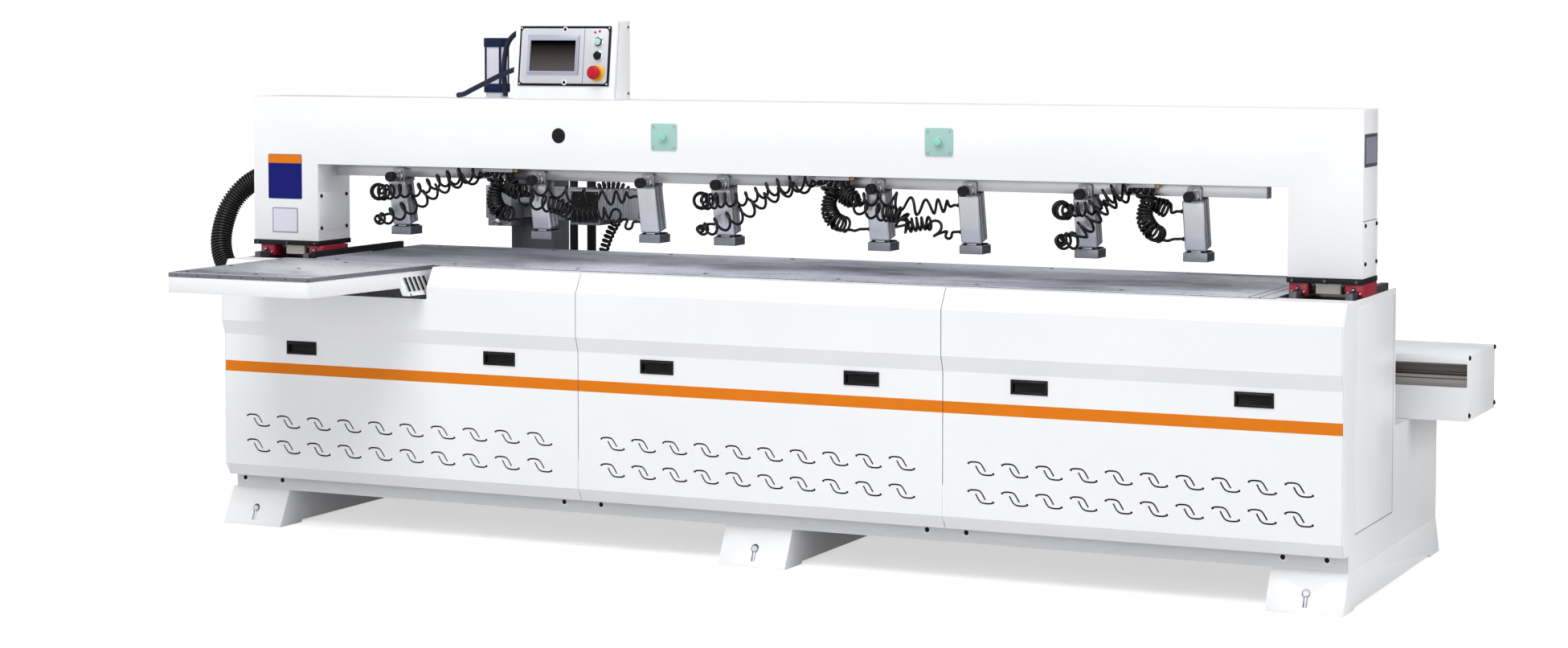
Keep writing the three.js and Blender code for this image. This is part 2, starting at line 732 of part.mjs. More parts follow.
function makeBeam() {
  const outline = (w) => [
    [beamLeft + w, legBottom - (w ? overrun : 0)], [leftLegInner - w, legBottom - (w ? overrun : 0)],
    [leftLegInner - w, beamBottom + w], [rightLegInner + w, beamBottom + w],
    [rightLegInner + w, legBottom - (w ? overrun : 0)], [beamRight - w, legBottom - (w ? overrun : 0)],
    [beamRight - w, beamTop - w], [beamLeft + w, beamTop - w],
  ];
  const leg = block(beamLeft, leftLegInner, beamBack - overlap, leftLegBack, legBottom, beamTop);
  const legHollow = block(beamLeft + beamWall, leftLegInner - beamWall, beamFront + beamWall,
    leftLegBack - beamWall, legBottom - overrun, beamTop - beamWall);
  const shell = cut(join(alongY(outline(0), beamFront, beamBack), leg),
    alongY(outline(beamWall), beamFront + beamWall, beamBack - beamWall), legHollow);
  const plates = beamButtonPlaces.map((x) => block(x - switchPlateWidth / 2, x + switchPlateWidth / 2,
    beamFront - switchPlateThick, beamFront + beamWall, beamButtonLevel - switchPlateHeight / 2,
    beamButtonLevel + switchPlateHeight / 2));
  const holes = beamButtonPlaces.map((x) => barY(buttonStem + fit, x, beamFront - overrun,
    beamFront + beamWall + overrun, beamButtonLevel));
  const cableHole = barY(conduitBore, conduitRoute[0].x, leftLegBack - beamWall - overrun,
    leftLegBack + overrun, conduitRoute[0].z);
  return cut(join(shell, ...plates), ...holes, cableHole);
}

// The conduit's route, from the back of the left leg round and into the cabinet's left end. Its two
// ends run straight for one diameter.
const conduitRoute = [
  [conduitExit.x, leftLegBack + fit, conduitExit.z],
  [conduitExit.x, leftLegBack + fit + 2 * conduitRadius, conduitExit.z],
  [10, 458, 1052], [-70, 470, 1050], [-160, 464, 1030], [-232, 446, 990], [-272, 420, 934],
  [-284, 394, 870], [-278, 372, 810], [-248, 354, 752], [-186, 342, 716], [-120, 336, 702],
  [-endCoverProud - fit - 2 * conduitRadius, conduitEntry.y, conduitEntry.z],
  [-endCoverProud - fit, conduitEntry.y, conduitEntry.z],
].map((point) => new THREE.Vector3(...point));

add('beam_housing', makeBeam(), white);

// Rings of a tube along points, turned as little as possible from one to the next
function frames(points) {
  const ways = points.map((_, i) => points[Math.min(i + 1, points.length - 1)].clone()
    .sub(points[Math.max(i - 1, 0)]).normalize());
  let side = new THREE.Vector3(0, 1, 0).cross(ways[0]);
  if (side.length() < 1 / 2) side = new THREE.Vector3(0, 0, 1).cross(ways[0]);
  side.normalize();
  return ways.map((way) => {
    side.addScaledVector(way, -side.dot(way)).normalize();
    return { side: side.clone(), up: way.clone().cross(side) };
  });
}

function ringOf(centre, frame, radius, sides) {
  return Array.from({ length: sides }, (_, k) => {
    const angle = (2 * Math.PI * k) / sides;
    return centre.clone().addScaledVector(frame.side, Math.cos(angle) * radius)
      .addScaledVector(frame.up, Math.sin(angle) * radius);
  });
}

// Skins between the rings, in order; a closed loop of rings has no end caps
function skin(rings, sides, closed) {
  const shape = new THREE.BufferGeometry();
  shape.setAttribute('position', new THREE.Float32BufferAttribute(
    rings.flat().flatMap((point) => point.toArray()), 3));
  const faces = [];
  const count = closed ? rings.length : rings.length - 1;
  for (let i = 0; i < count; i += 1) {
    const [a, b] = [i * sides, ((i + 1) % rings.length) * sides];
    for (let k = 0; k < sides; k += 1) {
      const next = (k + 1) % sides;
      faces.push(a + k, a + next, b + next, a + k, b + next, b + k);
    }
  }
  if (!closed) {
    const last = (rings.length - 1) * sides;
    for (let k = 1; k < sides - 1; k += 1) {
      faces.push(0, k + 1, k, last, last + k, last + k + 1);
    }
  }
  shape.setIndex(faces);
  return shape;
}

// The least gap between a tube's skin and itself, between places at least some points apart along it
function selfGap(points, radius, apart) {
  let least = Infinity;
  const fine = new THREE.CatmullRomCurve3(points).getPoints(points.length * fineness);
  fine.forEach((a, i) => {
    for (let j = i + apart * fineness; j < fine.length; j += 1) {
      least = Math.min(least, a.distanceTo(fine[j]));
    }
  });
  return least - 2 * radius;
}

function makeConduit() {
  const curve = new THREE.CatmullRomCurve3(conduitRoute.slice(1, -1), false, 'centripetal');
  const steps = conduitRibs * 2;
  const points = [conduitRoute[0], ...curve.getSpacedPoints(steps), conduitRoute.at(-1)];
  const gap = selfGap(points, conduitRadius, conduitApart);
  console.log(`cable_conduit: least gap to itself ${gap.toFixed(2)} mm`);
  const turned = frames(points);
  const outer = points.map((point, i) => ringOf(point, turned[i], i % 2 ? conduitValley : conduitRadius,
    conduitSides));
  const every = ribsPerBoreRing * 2;
  const bore = points.map((point, i) => [i, point])
    .filter(([i]) => i === 0 || i === points.length - 1 || i % every === 0)
    .map(([i, point]) => ringOf(point, turned[i], conduitBore, conduitSides));
  return skin([...outer, ...bore.reverse()], conduitSides, true);
}

add('cable_conduit', makeConduit(), black);

// Clamp rail under the beam
const clampRailTop = beamBottom - fit;
const clampRailBottom = clampRailTop - clampRailSize;
const clampRailBack = clampRailFront + clampRailSize;

function makeClampRail() {
  const grooveZ = railGrooveShares.map((share) => clampRailBottom + clampRailSize * share);
  const bar = block(clampRailLeft, clampRailRight, clampRailFront, clampRailBack, clampRailBottom,
    clampRailTop);
  return cut(bar, block(clampRailLeft - overrun, clampRailRight + overrun, clampRailBack - railGrooveDepth,
    clampRailBack + overrun, grooveZ[0], grooveZ[1]));
}

add('clamp_rail', makeClampRail(), clampGrey);

// A clamp: a bracket round the rail, a tilted cylinder and a locking knob
function clampPlace(x) {
  return new THREE.Matrix4().makeRotationX(clampTilt)
    .setPosition(x, cylinderTopY, beamBottom - cylinderTopDrop);
}

function makeClamp(x) {
  const top = beamBottom - bracketTopGap;
  const bottom = clampRailBottom - fit - bracketWall;
  const front = clampRailFront - fit - bracketWall;
  const back = clampRailBack + fit + bracketWall * (2 / 3);
  const [x0, x1] = [x - bracketWidth / 2, x + bracketWidth / 2];
  const face = [
    [x0, bottom], [x1, bottom], [x1, top - bracketRound],
    [x1 - bracketRound / 3, top - bracketRound / 3], [x1 - bracketRound, top],
    [x0 + bracketRound, top], [x0 + bracketRound / 3, top - bracketRound / 3], [x0, top - bracketRound],
  ];
  const lip = railGrooveShares.map((share) => clampRailBottom + clampRailSize * share);
  const bracket = cut(alongY(face, front, back),
    block(x0 - overrun, x1 + overrun, clampRailFront - fit, clampRailBack + fit,
      clampRailBottom - fit, top + overrun));
  const hook = block(x0, x1, clampRailBack - railGrooveDepth + fit, clampRailBack + bracketWall / 2,
    lip[0] + fit, lip[1] - fit);
  const place = clampPlace(x);
  const body = alongZ(roundedBox(cylinderWidth, cylinderDepth, cylinderCorner), -cylinderLength, 0);
  const ports = portShares.map((share) => barX(portRadius, -cylinderWidth / 2 - portReach,
    -cylinderWidth / 2 + grooveDepth * 2, 0, -cylinderLength * share, fewSides));
  const grooves = [-1, 1].flatMap((side) => [-1, 1].map((way) => {
    const middle = way * grooveOffset;
    const [a, b] = side < 0 ? [-cylinderWidth / 2 - overrun, -cylinderWidth / 2 + grooveDepth]
      : [cylinderWidth / 2 - grooveDepth, cylinderWidth / 2 + overrun];
    return block(a, b, middle - grooveWidth / 2, middle + grooveWidth / 2,
      -cylinderLength - overrun, -cylinderCorner);
  }));
  const bore = barZ(rodRadius + fit, 0, 0, -cylinderLength - overrun, -cylinderLength + boreLength);
  const cylinder = cut(join(cut(body, ...grooves), ...ports), bore);
  const knobZ = beamBottom - knobDrop;
  const barrel = barY(knobBarrelRadius, x, front - knobBarrelLength, front + bracketWall / 2, knobZ,
    fewSides);
  const knob = barY(knobRadius, x, front - knobBarrelLength - knobLength, front - knobBarrelLength, knobZ,
    wideSides);
  return join(bracket, hook, moved(cylinder, place), barrel, knob);
}

function makeClampFoot(x) {
  const reach = (beamBottom - cylinderTopDrop - clampFootLevel - clampFootThick / 2) / Math.cos(clampTilt);
  const middle = cylinderTopY + reach * Math.sin(clampTilt);
  const rod = barZ(rodRadius, 0, 0, -reach, -cylinderLength + rodGrip);
  const top = clampFootLevel + clampFootThick;
  const foot = block(x - clampFootWidth / 2, x + clampFootWidth / 2, middle - clampFootDepth / 2,
    middle + clampFootDepth / 2, clampFootLevel, top);
  const plate = block(x - clampFootWidth / 2 * wearPlateShare, x + clampFootWidth / 2 * wearPlateShare,
    middle - clampFootDepth / 2 * wearPlateShare, middle + clampFootDepth / 2 * wearPlateShare,
    top - fit, top + wearPlateThick);
  return join(moved(rod, clampPlace(x)), foot, plate);
}

clampPlaces.forEach((x, i) => {
  add(`clamp_${i + 1}`, makeClamp(x), clampGrey);
  add(`clamp_foot_${i + 1}`, makeClampFoot(x), clampGrey);
});

// Curly air hoses: each manifold under the beam feeds two hoses to each of its clamps
const manifolds = [
  { name: 'air_hoses_left', clamps: [0, 1, 2] },
  { name: 'air_hoses_middle', clamps: [3, 4, 5] },
  { name: 'air_hoses_right', clamps: [6, 7] },
];

function portOf(clampIndex, port) {
  const share = portShares[port];
  return new THREE.Vector3(-cylinderWidth / 2 - portReach - fit, 0, -cylinderLength * share)
    .applyMatrix4(clampPlace(clampPlaces[clampIndex]));
}

// Hand-chosen route points between an outlet and a port: first for a clamp on the outlet's left, whose
// hoses cross in front of it and turn back, then for the next clamp on its right, then for the far one
function hoseRoute(outlet, port, kind, low) {
  const from = outlet.clone().setZ(outlet.z - hoseDrop);
  const to = port.clone().setX(port.x - 2 * hoseRadius);
  const at = (x, y, z) => new THREE.Vector3(x, y, z);
  const drop = low ? 62 : 0;
  if (kind === 'back') {
    return [from, at(from.x - 40, 208, 1012 - drop / 2), at(port.x + 150, 198, 1004 - drop * 0.8),
      at(port.x + 42, 196, port.z - 4), at(port.x - 14, 200, port.z - 4), at(port.x - 38, 214, port.z - 3),
      at(port.x - 42, 236, port.z - 1), at(port.x - 26, 251 + drop / 5, port.z), to];
  }
  if (kind === 'near') {
    return [from, at(from.x - 2, 213, 1036 - drop * 0.5), at(to.x - 42, port.y - 22, port.z + 14),
      at(to.x - 16, port.y - 3, port.z + 1), to];
  }
  return [from, at(from.x + 24, 203, 1012 - drop * 0.6), at(from.x + 80, 197, 998 - drop * 0.75),
    at((from.x + to.x) / 2, 200, 988 - drop), at(to.x - 90, 226, port.z - 6),
    at(to.x - 26, port.y - 4, port.z - 2), to];
}

// A curly hose: its middle swings round the route, and its ends run straight for one diameter
function curlyPoints(outlet, port, kind, low) {
  const route = new THREE.CatmullRomCurve3(hoseRoute(outlet, port, kind, low), false, 'centripetal');
  const steps = curlsPerHose * stepsPerCurl;
  const points = [outlet.clone()];
  for (let i = 0; i <= steps; i += 1) {
    const share = i / steps;
    const way = route.getTangentAt(share);
    const side = new THREE.Vector3(0, 1, 0).cross(way).normalize();
    const up = way.clone().cross(side);
    const open = THREE.MathUtils.smoothstep(share, 0, hoseRampShare)
      * THREE.MathUtils.smoothstep(1 - share, 0, hoseRampShare);
    const angle = 2 * Math.PI * curlsPerHose * share;
    points.push(route.getPointAt(share)
      .addScaledVector(side, Math.cos(angle) * curlRadius * open)
      .addScaledVector(up, Math.sin(angle) * curlRadius * open));
  }
  points.push(port.clone());
  return points;
}

manifolds.forEach(({ name, clamps }, manifold) => {
  const count = clamps.length * 2;
  const left = cabinetLength * manifoldShares[manifold] - (hosePitch * count) / 2;
  const top = beamBottom - fit;
  const bottom = top - manifoldThick;
  const parts = [block(left, left + hosePitch * count, manifoldFront, manifoldFront + manifoldDepth, bottom,
    top)];
  let gap = Infinity;
  clamps.forEach((clampIndex, k) => {
    const kind = ['back', 'near', 'far'][k];
    [0, 1].forEach((port) => {
      const outletX = left + hosePitch * (k * 2 + port + 1 / 2);
      const outlet = new THREE.Vector3(outletX, manifoldFront + manifoldDepth / 2, bottom);
      const points = curlyPoints(outlet, portOf(clampIndex, port), kind, port === 1);
      gap = Math.min(gap, selfGap(points, hoseRadius, stepsPerCurl / 2));
      points[0].z += manifoldThick / 2;
      const rings = frames(points).map((frame, i) => ringOf(points[i], frame, hoseRadius, hoseSides));
      parts.push(skin(rings, hoseSides, false));
    });
  });
  console.log(`${name}: least gap of a hose to itself ${gap.toFixed(2)} mm`);
  add(name, join(...parts), black);
});

// Bed of the drilling unit: a sheet housing with a slot along its front, and a rail beam in it
function makeBedCover() {
  const wall = sheet;
  const outer = [[bedFront, bedBottom], [bedBack, bedBottom], [bedBack, bedTop], [bedFront, bedTop]];
  const inner = [
    [bedFront + wall, bedBottom + wall], [bedBack - wall, bedBottom + wall],
    [bedBack - wall, bedTop - wall], [bedFront + wall, bedTop - wall],
  ];
  return cut(alongX(outer, bedLeft, bedRight), alongX(inner, bedLeft + wall, bedRight - wall),
    block(bedLeft + wall, bedRight - wall, bedFront - overrun, bedFront + wall + overrun, bedSlotBottom,
      bedSlotTop));
}

add('x_axis_cover', makeBedCover(), white);

function makeBedRail() {
  const low = bedBottom + sheet + fit;
  const high = bedTop - sheet - bedRailGap;
  const deep = bedRailFront + bedRailFoot;
  const pitch = (high - bedSlotBottom) / 4;
  const outline = [
    [deep, low], [bedRailBack, low], [bedRailBack, high], [bedRailFront, high],
    [bedRailFront, high - pitch], [deep, high - pitch], [deep, high - pitch * 2],
    [bedRailFront, high - pitch * 2], [bedRailFront, high - pitch * 3], [deep, high - pitch * 3],
  ];
  const hollow = [
    [deep + bedRailWall, low + bedRailWall], [bedRailBack - bedRailWall, low + bedRailWall],
    [bedRailBack - bedRailWall, high - bedRailWall], [deep + bedRailWall, high - bedRailWall],
  ];
  const [x0, x1] = [bedLeft + sheet + fit, bedRight - sheet - fit];
  return cut(alongX(outline, x0, x1), alongX(hollow, x0 - overrun, x1 + overrun));
}

add('x_axis_rail', makeBedRail(), steel);

// Drilling unit: an arm out of the slot, a saddle over the bed and a column that carries the lift
const columnRight = columnLeft + columnWidth;
const columnBack = columnFront + columnDepth;
const liftY = columnFront - fit - slideThick / 2;

function makeDrillCarriage() {
  const gripMiddle = (bedSlotBottom + bedSlotTop) / 2;
  const grip = block(columnLeft, saddleRight, armFront, bedRailFront - fit, gripMiddle - armThick / 2,
    gripMiddle + armThick / 2);
  const riser = block(columnLeft, saddleRight, armFront, armFront + armSide, gripMiddle,
    saddleBottom + armSide);
  const saddle = block(columnLeft, saddleRight, armFront, columnBack, saddleBottom, saddleBottom + armSide);
  const column = channel([columnLeft, columnRight, columnFront, columnBack, saddleBottom + armSide / 2,
    columnTop], 'back', bedRailWall);
  const plateLeft = liftCylinderMiddle - liftCylinderSide / 2;
  const plate = block(plateLeft, columnRight, liftY - liftCylinderSide / 2, columnBack,
    columnTop - mountPlateThick, columnTop);
  return cut(join(grip, riser, saddle, column, plate), barZ(liftRodRadius + fit, liftCylinderMiddle, liftY,
    columnTop - mountPlateThick - overrun, columnTop + overrun));
}

add('drill_carriage', makeDrillCarriage(), darkGrey);

// Lift slide: a plate on the column, with the lift rod and two bores for the head's guide rods
const guideRodPlaces = [columnLeft - guideRodOffset, rightHeadLeft + rightHeadWidth - guideRodInset];
const guideRodZ = (headBridgeBottom + slideTop) / 2;

function makeSlide() {
  const plate = block(slideLeft, slideRight, columnFront - fit - slideThick, columnFront - fit,
    slideBottom, slideTop);
  const rod = barZ(liftRodRadius, liftCylinderMiddle, liftY, slideTop - overlap, liftRodTop);
  const bores = guideRodPlaces.map((x) => barY(guideRodRadius + fit, x, columnFront - slideThick - overrun,
    columnFront + overrun, guideRodZ));
  return cut(join(plate, rod), ...bores);
}

add('head_slide', makeSlide(), clampGrey);

function makeHead() {
  const back = headFront + headDepth;
  const rightHeadRight = rightHeadLeft + rightHeadWidth;
  const left = block(leftHeadLeft, leftHeadLeft + leftHeadWidth, headFront, back, leftHeadBottom, slideTop);
  const bridge = block(leftHeadLeft, rightHeadRight, headFront + headDepth / 2, back, headBridgeBottom,
    slideTop - headStep);
  const right = block(rightHeadLeft, rightHeadRight, headFront, back, rightHeadBottom, slideTop);
  const motor = block(rightHeadRight - overlap, rightHeadRight + motorLength, headFront + motorFinDepth,
    back - motorFinDepth, motorBottom, motorTop);
  const pitch = motorLength / (motorFins + 1);
  const fins = Array.from({ length: motorFins }, (_, i) => {
    const x = rightHeadRight + pitch * (i + 1);
    return block(x - pitch / 4, x + pitch / 4, headFront, back, motorBottom - motorFinDepth,
      motorTop + motorFinDepth);
  });
  const rods = guideRodPlaces.map((x) => barY(guideRodRadius, x, back - overlap, back + guideRodLength,
    guideRodZ));
  const seat = barY(spindleRadius + fit, leftHeadLeft + leftHeadWidth / 2, headFront - overrun,
    headFront + spindleSeat, spindleLevel);
  return cut(join(left, bridge, right, motor, ...fins, ...rods), seat);
}

add('spindle_head', makeHead(), clampGrey);

function makeSpindle() {
  const x = leftHeadLeft + leftHeadWidth / 2;
  const chuck = barY(spindleRadius, x, headFront - chuckLength, headFront + spindleSeat - fit,
    spindleLevel);
  const bit = barY(bitRadius, x, headFront - chuckLength - bitLength, headFront - chuckLength + fit,
    spindleLevel, roundSides);
  return join(chuck, bit);
}

add('drill_spindle', makeSpindle(), steel);

// Lift cylinder: two square caps and a slimmer barrel, with a bore for the lift rod
function makeLiftCylinder() {
  const half = liftCylinderSide / 2;
  const slim = half * liftBarrelShare;
  const x = liftCylinderMiddle;
  const low = columnTop + fit;
  const cap = (z) => block(x - half, x + half, liftY - half, liftY + half, z, z + liftCapHeight);
  const barrel = block(x - slim, x + slim, liftY - slim, liftY + slim, low,
    liftCylinderTop - liftCapHeight / 2);
  return cut(join(cap(low + liftNeck), barrel, cap(liftCylinderTop - liftCapHeight)),
    barZ(liftRodRadius + fit, x, liftY, low - overrun, liftBoreTop));
}

add('head_cylinder', makeLiftCylinder(), navy);

// Control box: a sheet box whose face leans back, with its panel, screen and buttons
const boxBottom = beamTop + fit;
const boxBack = beamFront + boxDepth;
const boxLean = Math.tan(boxTilt) * (boxTop - boxBottom);
const facePlace = new THREE.Matrix4().makeRotationX(-boxTilt).setPosition(0, beamFront, boxBottom);

// Hand-chosen routes of the two cables from the box's left side down onto the beam: how far left of the
// box's side, how far behind the beam's front, and how high above where a cable lies, in box heights
const cableRoutes = [
  [[-boxWall / 2, 70, 0.825], [25, 70, 0.816], [57, 72, 0.711], [69, 76, 0.483], [73, 80, 0.22],
    [89, 88, 0.044], [125, 96, 0.009], [171, 104, 0]],
  [[-boxWall / 2, 50, 0.365], [35, 50, 0.36], [83, 54, 0.264], [138, 60, 0.141], [183, 66, 0.053],
    [225, 72, 0.009], [267, 82, 0]],
];

function cableTube(route) {
  const points = route.map(([out, back, rise]) => new THREE.Vector3(boxLeft - out, beamFront + back,
    beamTop + cableRadius * cableLift + fit + boxHeight * rise));
  const curve = new THREE.CatmullRomCurve3(points);
  const circle = new THREE.Shape();
  circle.absarc(0, 0, cableRadius, 0, 2 * Math.PI, false);
  return new THREE.ExtrudeGeometry(circle, {
    steps: points.length * 2, curveSegments: cableSides, bevelEnabled: false, extrudePath: curve,
  });
}

function makeControlBox() {
  const outline = (w) => [
    [beamFront + w * (1 + Math.tan(boxTilt)), boxBottom + (w ? -overrun : 0)], [boxBack - w, boxBottom
      + (w ? -overrun : 0)], [boxBack - w, boxTop - w], [beamFront + boxLean + w, boxTop - w],
  ];
  const shell = cut(alongX(outline(0), boxLeft, boxRight), alongX(outline(boxWall), boxLeft + boxWall,
    boxRight - boxWall));
  const window = block(screenLeft + screenBodyInset - fit, screenLeft + screenWidth - screenBodyInset + fit,
    -overrun, boxWall + overrun, screenBottom + screenBodyInset - fit,
    screenBottom + screenHeight - screenBodyInset + fit);
  const holes = [startLevel, resetLevel, stopLevel].map((z) => barY(buttonStem + fit, buttonColumn, -overrun,
    boxWall + overrun, z));
  return cut(join(shell, ...cableRoutes.map(cableTube)), moved(window, facePlace),
    ...holes.map((hole) => moved(hole, facePlace)));
}

add('control_box', makeControlBox(), white);

const face = new THREE.Group();
face.position.set(0, beamFront, boxBottom);
face.rotation.x = -boxTilt;
machine.add(face);
const bezelFront = -fit - bezelThick;
const plateFront = bezelFront - facePlateThick;

function makeControlPanel() {
  const bezel = block(bezelLeft, bezelRight, bezelFront, -fit, bezelBottom, bezelTop);
  const plate = alongY(roundedBox(bezelRight - bezelLeft - facePlateInset * 2, bezelTop - bezelBottom
    - facePlateInset * 2, facePlateInset).map(([x, z]) => [x + (bezelLeft + bezelRight) / 2,
    z + (bezelBottom + bezelTop) / 2]), plateFront, bezelFront + fit);
  const ring = barY(stopRing, buttonColumn, plateFront - facePlateThick, plateFront + fit, stopLevel,
    wideSides);
  const window = block(screenLeft + screenBodyInset - fit, screenLeft + screenWidth - screenBodyInset + fit,
    plateFront - overrun, overrun, screenBottom + screenBodyInset - fit,
    screenBottom + screenHeight - screenBodyInset + fit);
  const holes = [startLevel, resetLevel, stopLevel].map((z) => barY(buttonStem + fit, buttonColumn,
    plateFront - overrun, overrun, z));
  return cut(join(bezel, plate, ring), window, ...holes);
}

function makeScreen() {
  const flange = block(screenLeft, screenLeft + screenWidth, plateFront - fit - screenThick,
    plateFront - fit, screenBottom, screenBottom + screenHeight);
  const body = block(screenLeft + screenBodyInset, screenLeft + screenWidth - screenBodyInset,
    plateFront - screenThick / 2, screenBodyDepth, screenBottom + screenBodyInset,
    screenBottom + screenHeight - screenBodyInset);
  return join(flange, body);
}

function makeButton(level, head, reach, travel, seat) {
  const back = seat - fit - travel;
  return join(barY(head, buttonColumn, back - reach, back, level, wideSides),
    barY(buttonStem, buttonColumn, back - reach / 2, stemDepth, level));
}

add('control_panel', makeControlPanel(), silver, face);
add('touch_screen', makeScreen(), screenGrey, face);
add('start_button', makeButton(startLevel, buttonHead, buttonReach, buttonTravel, plateFront), mint, face);
add('reset_button', makeButton(resetLevel, buttonHead, buttonReach, buttonTravel, plateFront), black, face);
add('emergency_stop', makeButton(stopLevel, stopHead, stopReach, stopTravel, plateFront - facePlateThick),
  stopRed, face);

// Buttons on the beam
beamButtonPlaces.forEach((x, i) => {
  const back = beamFront - switchPlateThick - fit - buttonTravel;
  const head = barY(buttonHead, x, back - buttonReach, back, beamButtonLevel, wideSides);
  const stem = barY(buttonStem, x, back - buttonReach / 2, beamFront + beamWall + stemDepth / 2,
    beamButtonLevel);
  add(`beam_button_${i + 1}`, join(head, stem), mint);
});

// The origin lies on the floor under the middle of the machine
const leftmost = beamLeft - footPlateLip;
machine.position.set(-(leftmost + bedRight) / 2, -(footRear - extensionReach) / 2, 0);

export default machine;
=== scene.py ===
# Side hole drilling machine: the looks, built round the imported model. Metres, +X right, +Y back, +Z up.
import json
import math

import bmesh
import bpy
from mathutils import Matrix, Vector

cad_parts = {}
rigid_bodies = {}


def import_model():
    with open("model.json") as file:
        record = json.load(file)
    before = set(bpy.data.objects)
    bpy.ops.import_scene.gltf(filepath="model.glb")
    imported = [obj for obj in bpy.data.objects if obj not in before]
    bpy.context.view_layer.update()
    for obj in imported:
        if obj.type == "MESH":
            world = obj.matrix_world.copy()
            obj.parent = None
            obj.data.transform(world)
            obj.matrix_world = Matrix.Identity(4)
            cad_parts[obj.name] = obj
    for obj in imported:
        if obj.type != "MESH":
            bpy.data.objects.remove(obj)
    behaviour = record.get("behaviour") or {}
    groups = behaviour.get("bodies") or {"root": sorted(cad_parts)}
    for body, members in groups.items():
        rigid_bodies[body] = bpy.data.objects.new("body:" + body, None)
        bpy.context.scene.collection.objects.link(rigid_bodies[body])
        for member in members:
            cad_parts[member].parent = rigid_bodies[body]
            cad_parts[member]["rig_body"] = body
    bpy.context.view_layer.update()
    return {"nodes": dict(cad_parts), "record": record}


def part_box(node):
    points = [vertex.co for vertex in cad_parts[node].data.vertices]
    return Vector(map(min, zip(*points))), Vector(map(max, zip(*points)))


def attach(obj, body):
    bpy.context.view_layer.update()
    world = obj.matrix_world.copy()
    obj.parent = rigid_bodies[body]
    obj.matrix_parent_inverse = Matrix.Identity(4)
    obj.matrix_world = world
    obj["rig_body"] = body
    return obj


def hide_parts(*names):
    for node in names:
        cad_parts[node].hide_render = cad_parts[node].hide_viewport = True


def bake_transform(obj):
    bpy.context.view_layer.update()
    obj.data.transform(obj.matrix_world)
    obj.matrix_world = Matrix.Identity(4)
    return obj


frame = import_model()
nodes = frame["nodes"]
mm = 0.001
toFront, toRight, toTop = (0, -1, 0), (1, 0, 0), (0, 0, 1)

# the machine's own corner: cabinet's left end, front face and floor, from which places are told in mm
corner = {"x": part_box("base_frame")[0].x - 3.3 * mm, "y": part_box("main_table")[0].y - 70.3 * mm}


def at(x, y, z):
    return Vector((corner["x"] + x * mm, corner["y"] + y * mm, z * mm))


def linked(name, data):
    obj = bpy.data.objects.new(name, data)
    bpy.context.scene.collection.objects.link(obj)
    return obj


# Camera
cameraSettings = {"x": 5352.8, "y": -7405.6, "z": 1509.3, "turn": 24.86, "pitch": 3, "focal": 3734.3,
                  "middle": 1002.3, "horizon": 26.4, "width": 1951, "height": 806, "sensor": 36, "far": 200}


def addCamera(s):
    data = bpy.data.cameras.new("camera")
    camera = linked("camera", data)
    camera.location = at(s["x"], s["y"], s["z"])
    pitch = math.radians(s["pitch"])
    camera.rotation_euler = (math.pi / 2 - pitch, 0, math.radians(s["turn"]))
    data.sensor_width = s["sensor"]
    data.lens = s["focal"] * s["sensor"] / s["width"]
    axisRow = s["horizon"] + s["focal"] * math.tan(pitch)  # row of the picture that the lens axis meets
    data.shift_x = (s["width"] / 2 - s["middle"]) / s["width"]
    data.shift_y = -(s["height"] / 2 - axisRow) / s["width"]
    data.clip_end = s["far"]
    bpy.context.scene.camera = camera


addCamera(cameraSettings)
print("camera placed")


# Hands: selecting, placing and finishing

def pickOnly(*objs):
    for o in bpy.context.view_layer.objects:
        o.select_set(False)
    for o in objs:
        o.select_set(True)
    bpy.context.view_layer.objects.active = objs[0]


def edited(obj, *steps):  # mesh operators and their options, each run on the whole mesh
    pickOnly(obj)
    bpy.ops.object.mode_set(mode="EDIT")
    for step, options in steps:
        bpy.ops.mesh.select_all(action="SELECT")
        step(**options)
    bpy.ops.object.mode_set(mode="OBJECT")
    return obj


def modified(obj, kind, **settings):
    pickOnly(obj)
    mod = obj.modifiers.new(kind.lower(), kind)
    for key, value in settings.items():
        setattr(mod, key, value)
    bpy.ops.object.modifier_apply(modifier=mod.name)
    return obj


def bevelled(obj, width, segments=2, angle=30):
    return modified(obj, "BEVEL", width=width, segments=segments, limit_method="ANGLE",
                    angle_limit=math.radians(angle))


def smoothed(obj, angle=35):
    pickOnly(obj)
    bpy.ops.object.shade_smooth_by_angle(angle=math.radians(angle))
    return obj


def settled(obj, width, segments, angle=30):  # puts the object's place into its mesh and breaks its edges
    pickOnly(obj)
    bpy.ops.object.transform_apply(location=True, rotation=True, scale=True)
    return bevelled(obj, width * mm, segments, angle) if width else obj


def joined(objs, name):
    pickOnly(*objs)
    if len(objs) > 1:
        bpy.ops.object.join()
    obj = bpy.context.view_layer.objects.active
    obj.name = obj.data.name = name
    return obj


def coated(obj, *names):
    obj.data.materials.clear()
    for name in names:
        obj.data.materials.append(finishes[name])
    return obj


def coatedByFace(obj, names, choose):  # choose gives a face's place in names from its normal
    coated(obj, *names)
    for face in obj.data.polygons:
        face.material_index = choose(face.normal)
    return obj


def platesFinish(normal):  # one finish on top, one on the broken edges, one round the sides
    return 0 if abs(normal.z) > 0.95 else 1 if abs(normal.z) > 0.05 else 2


def onBody(obj, body, slot, *replaced):
    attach(obj, body)
    if replaced:
        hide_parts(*replaced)
    return obj


def piece(name, parts, body, slot, *replaced):
    return onBody(joined(parts, name), body, slot, *replaced)


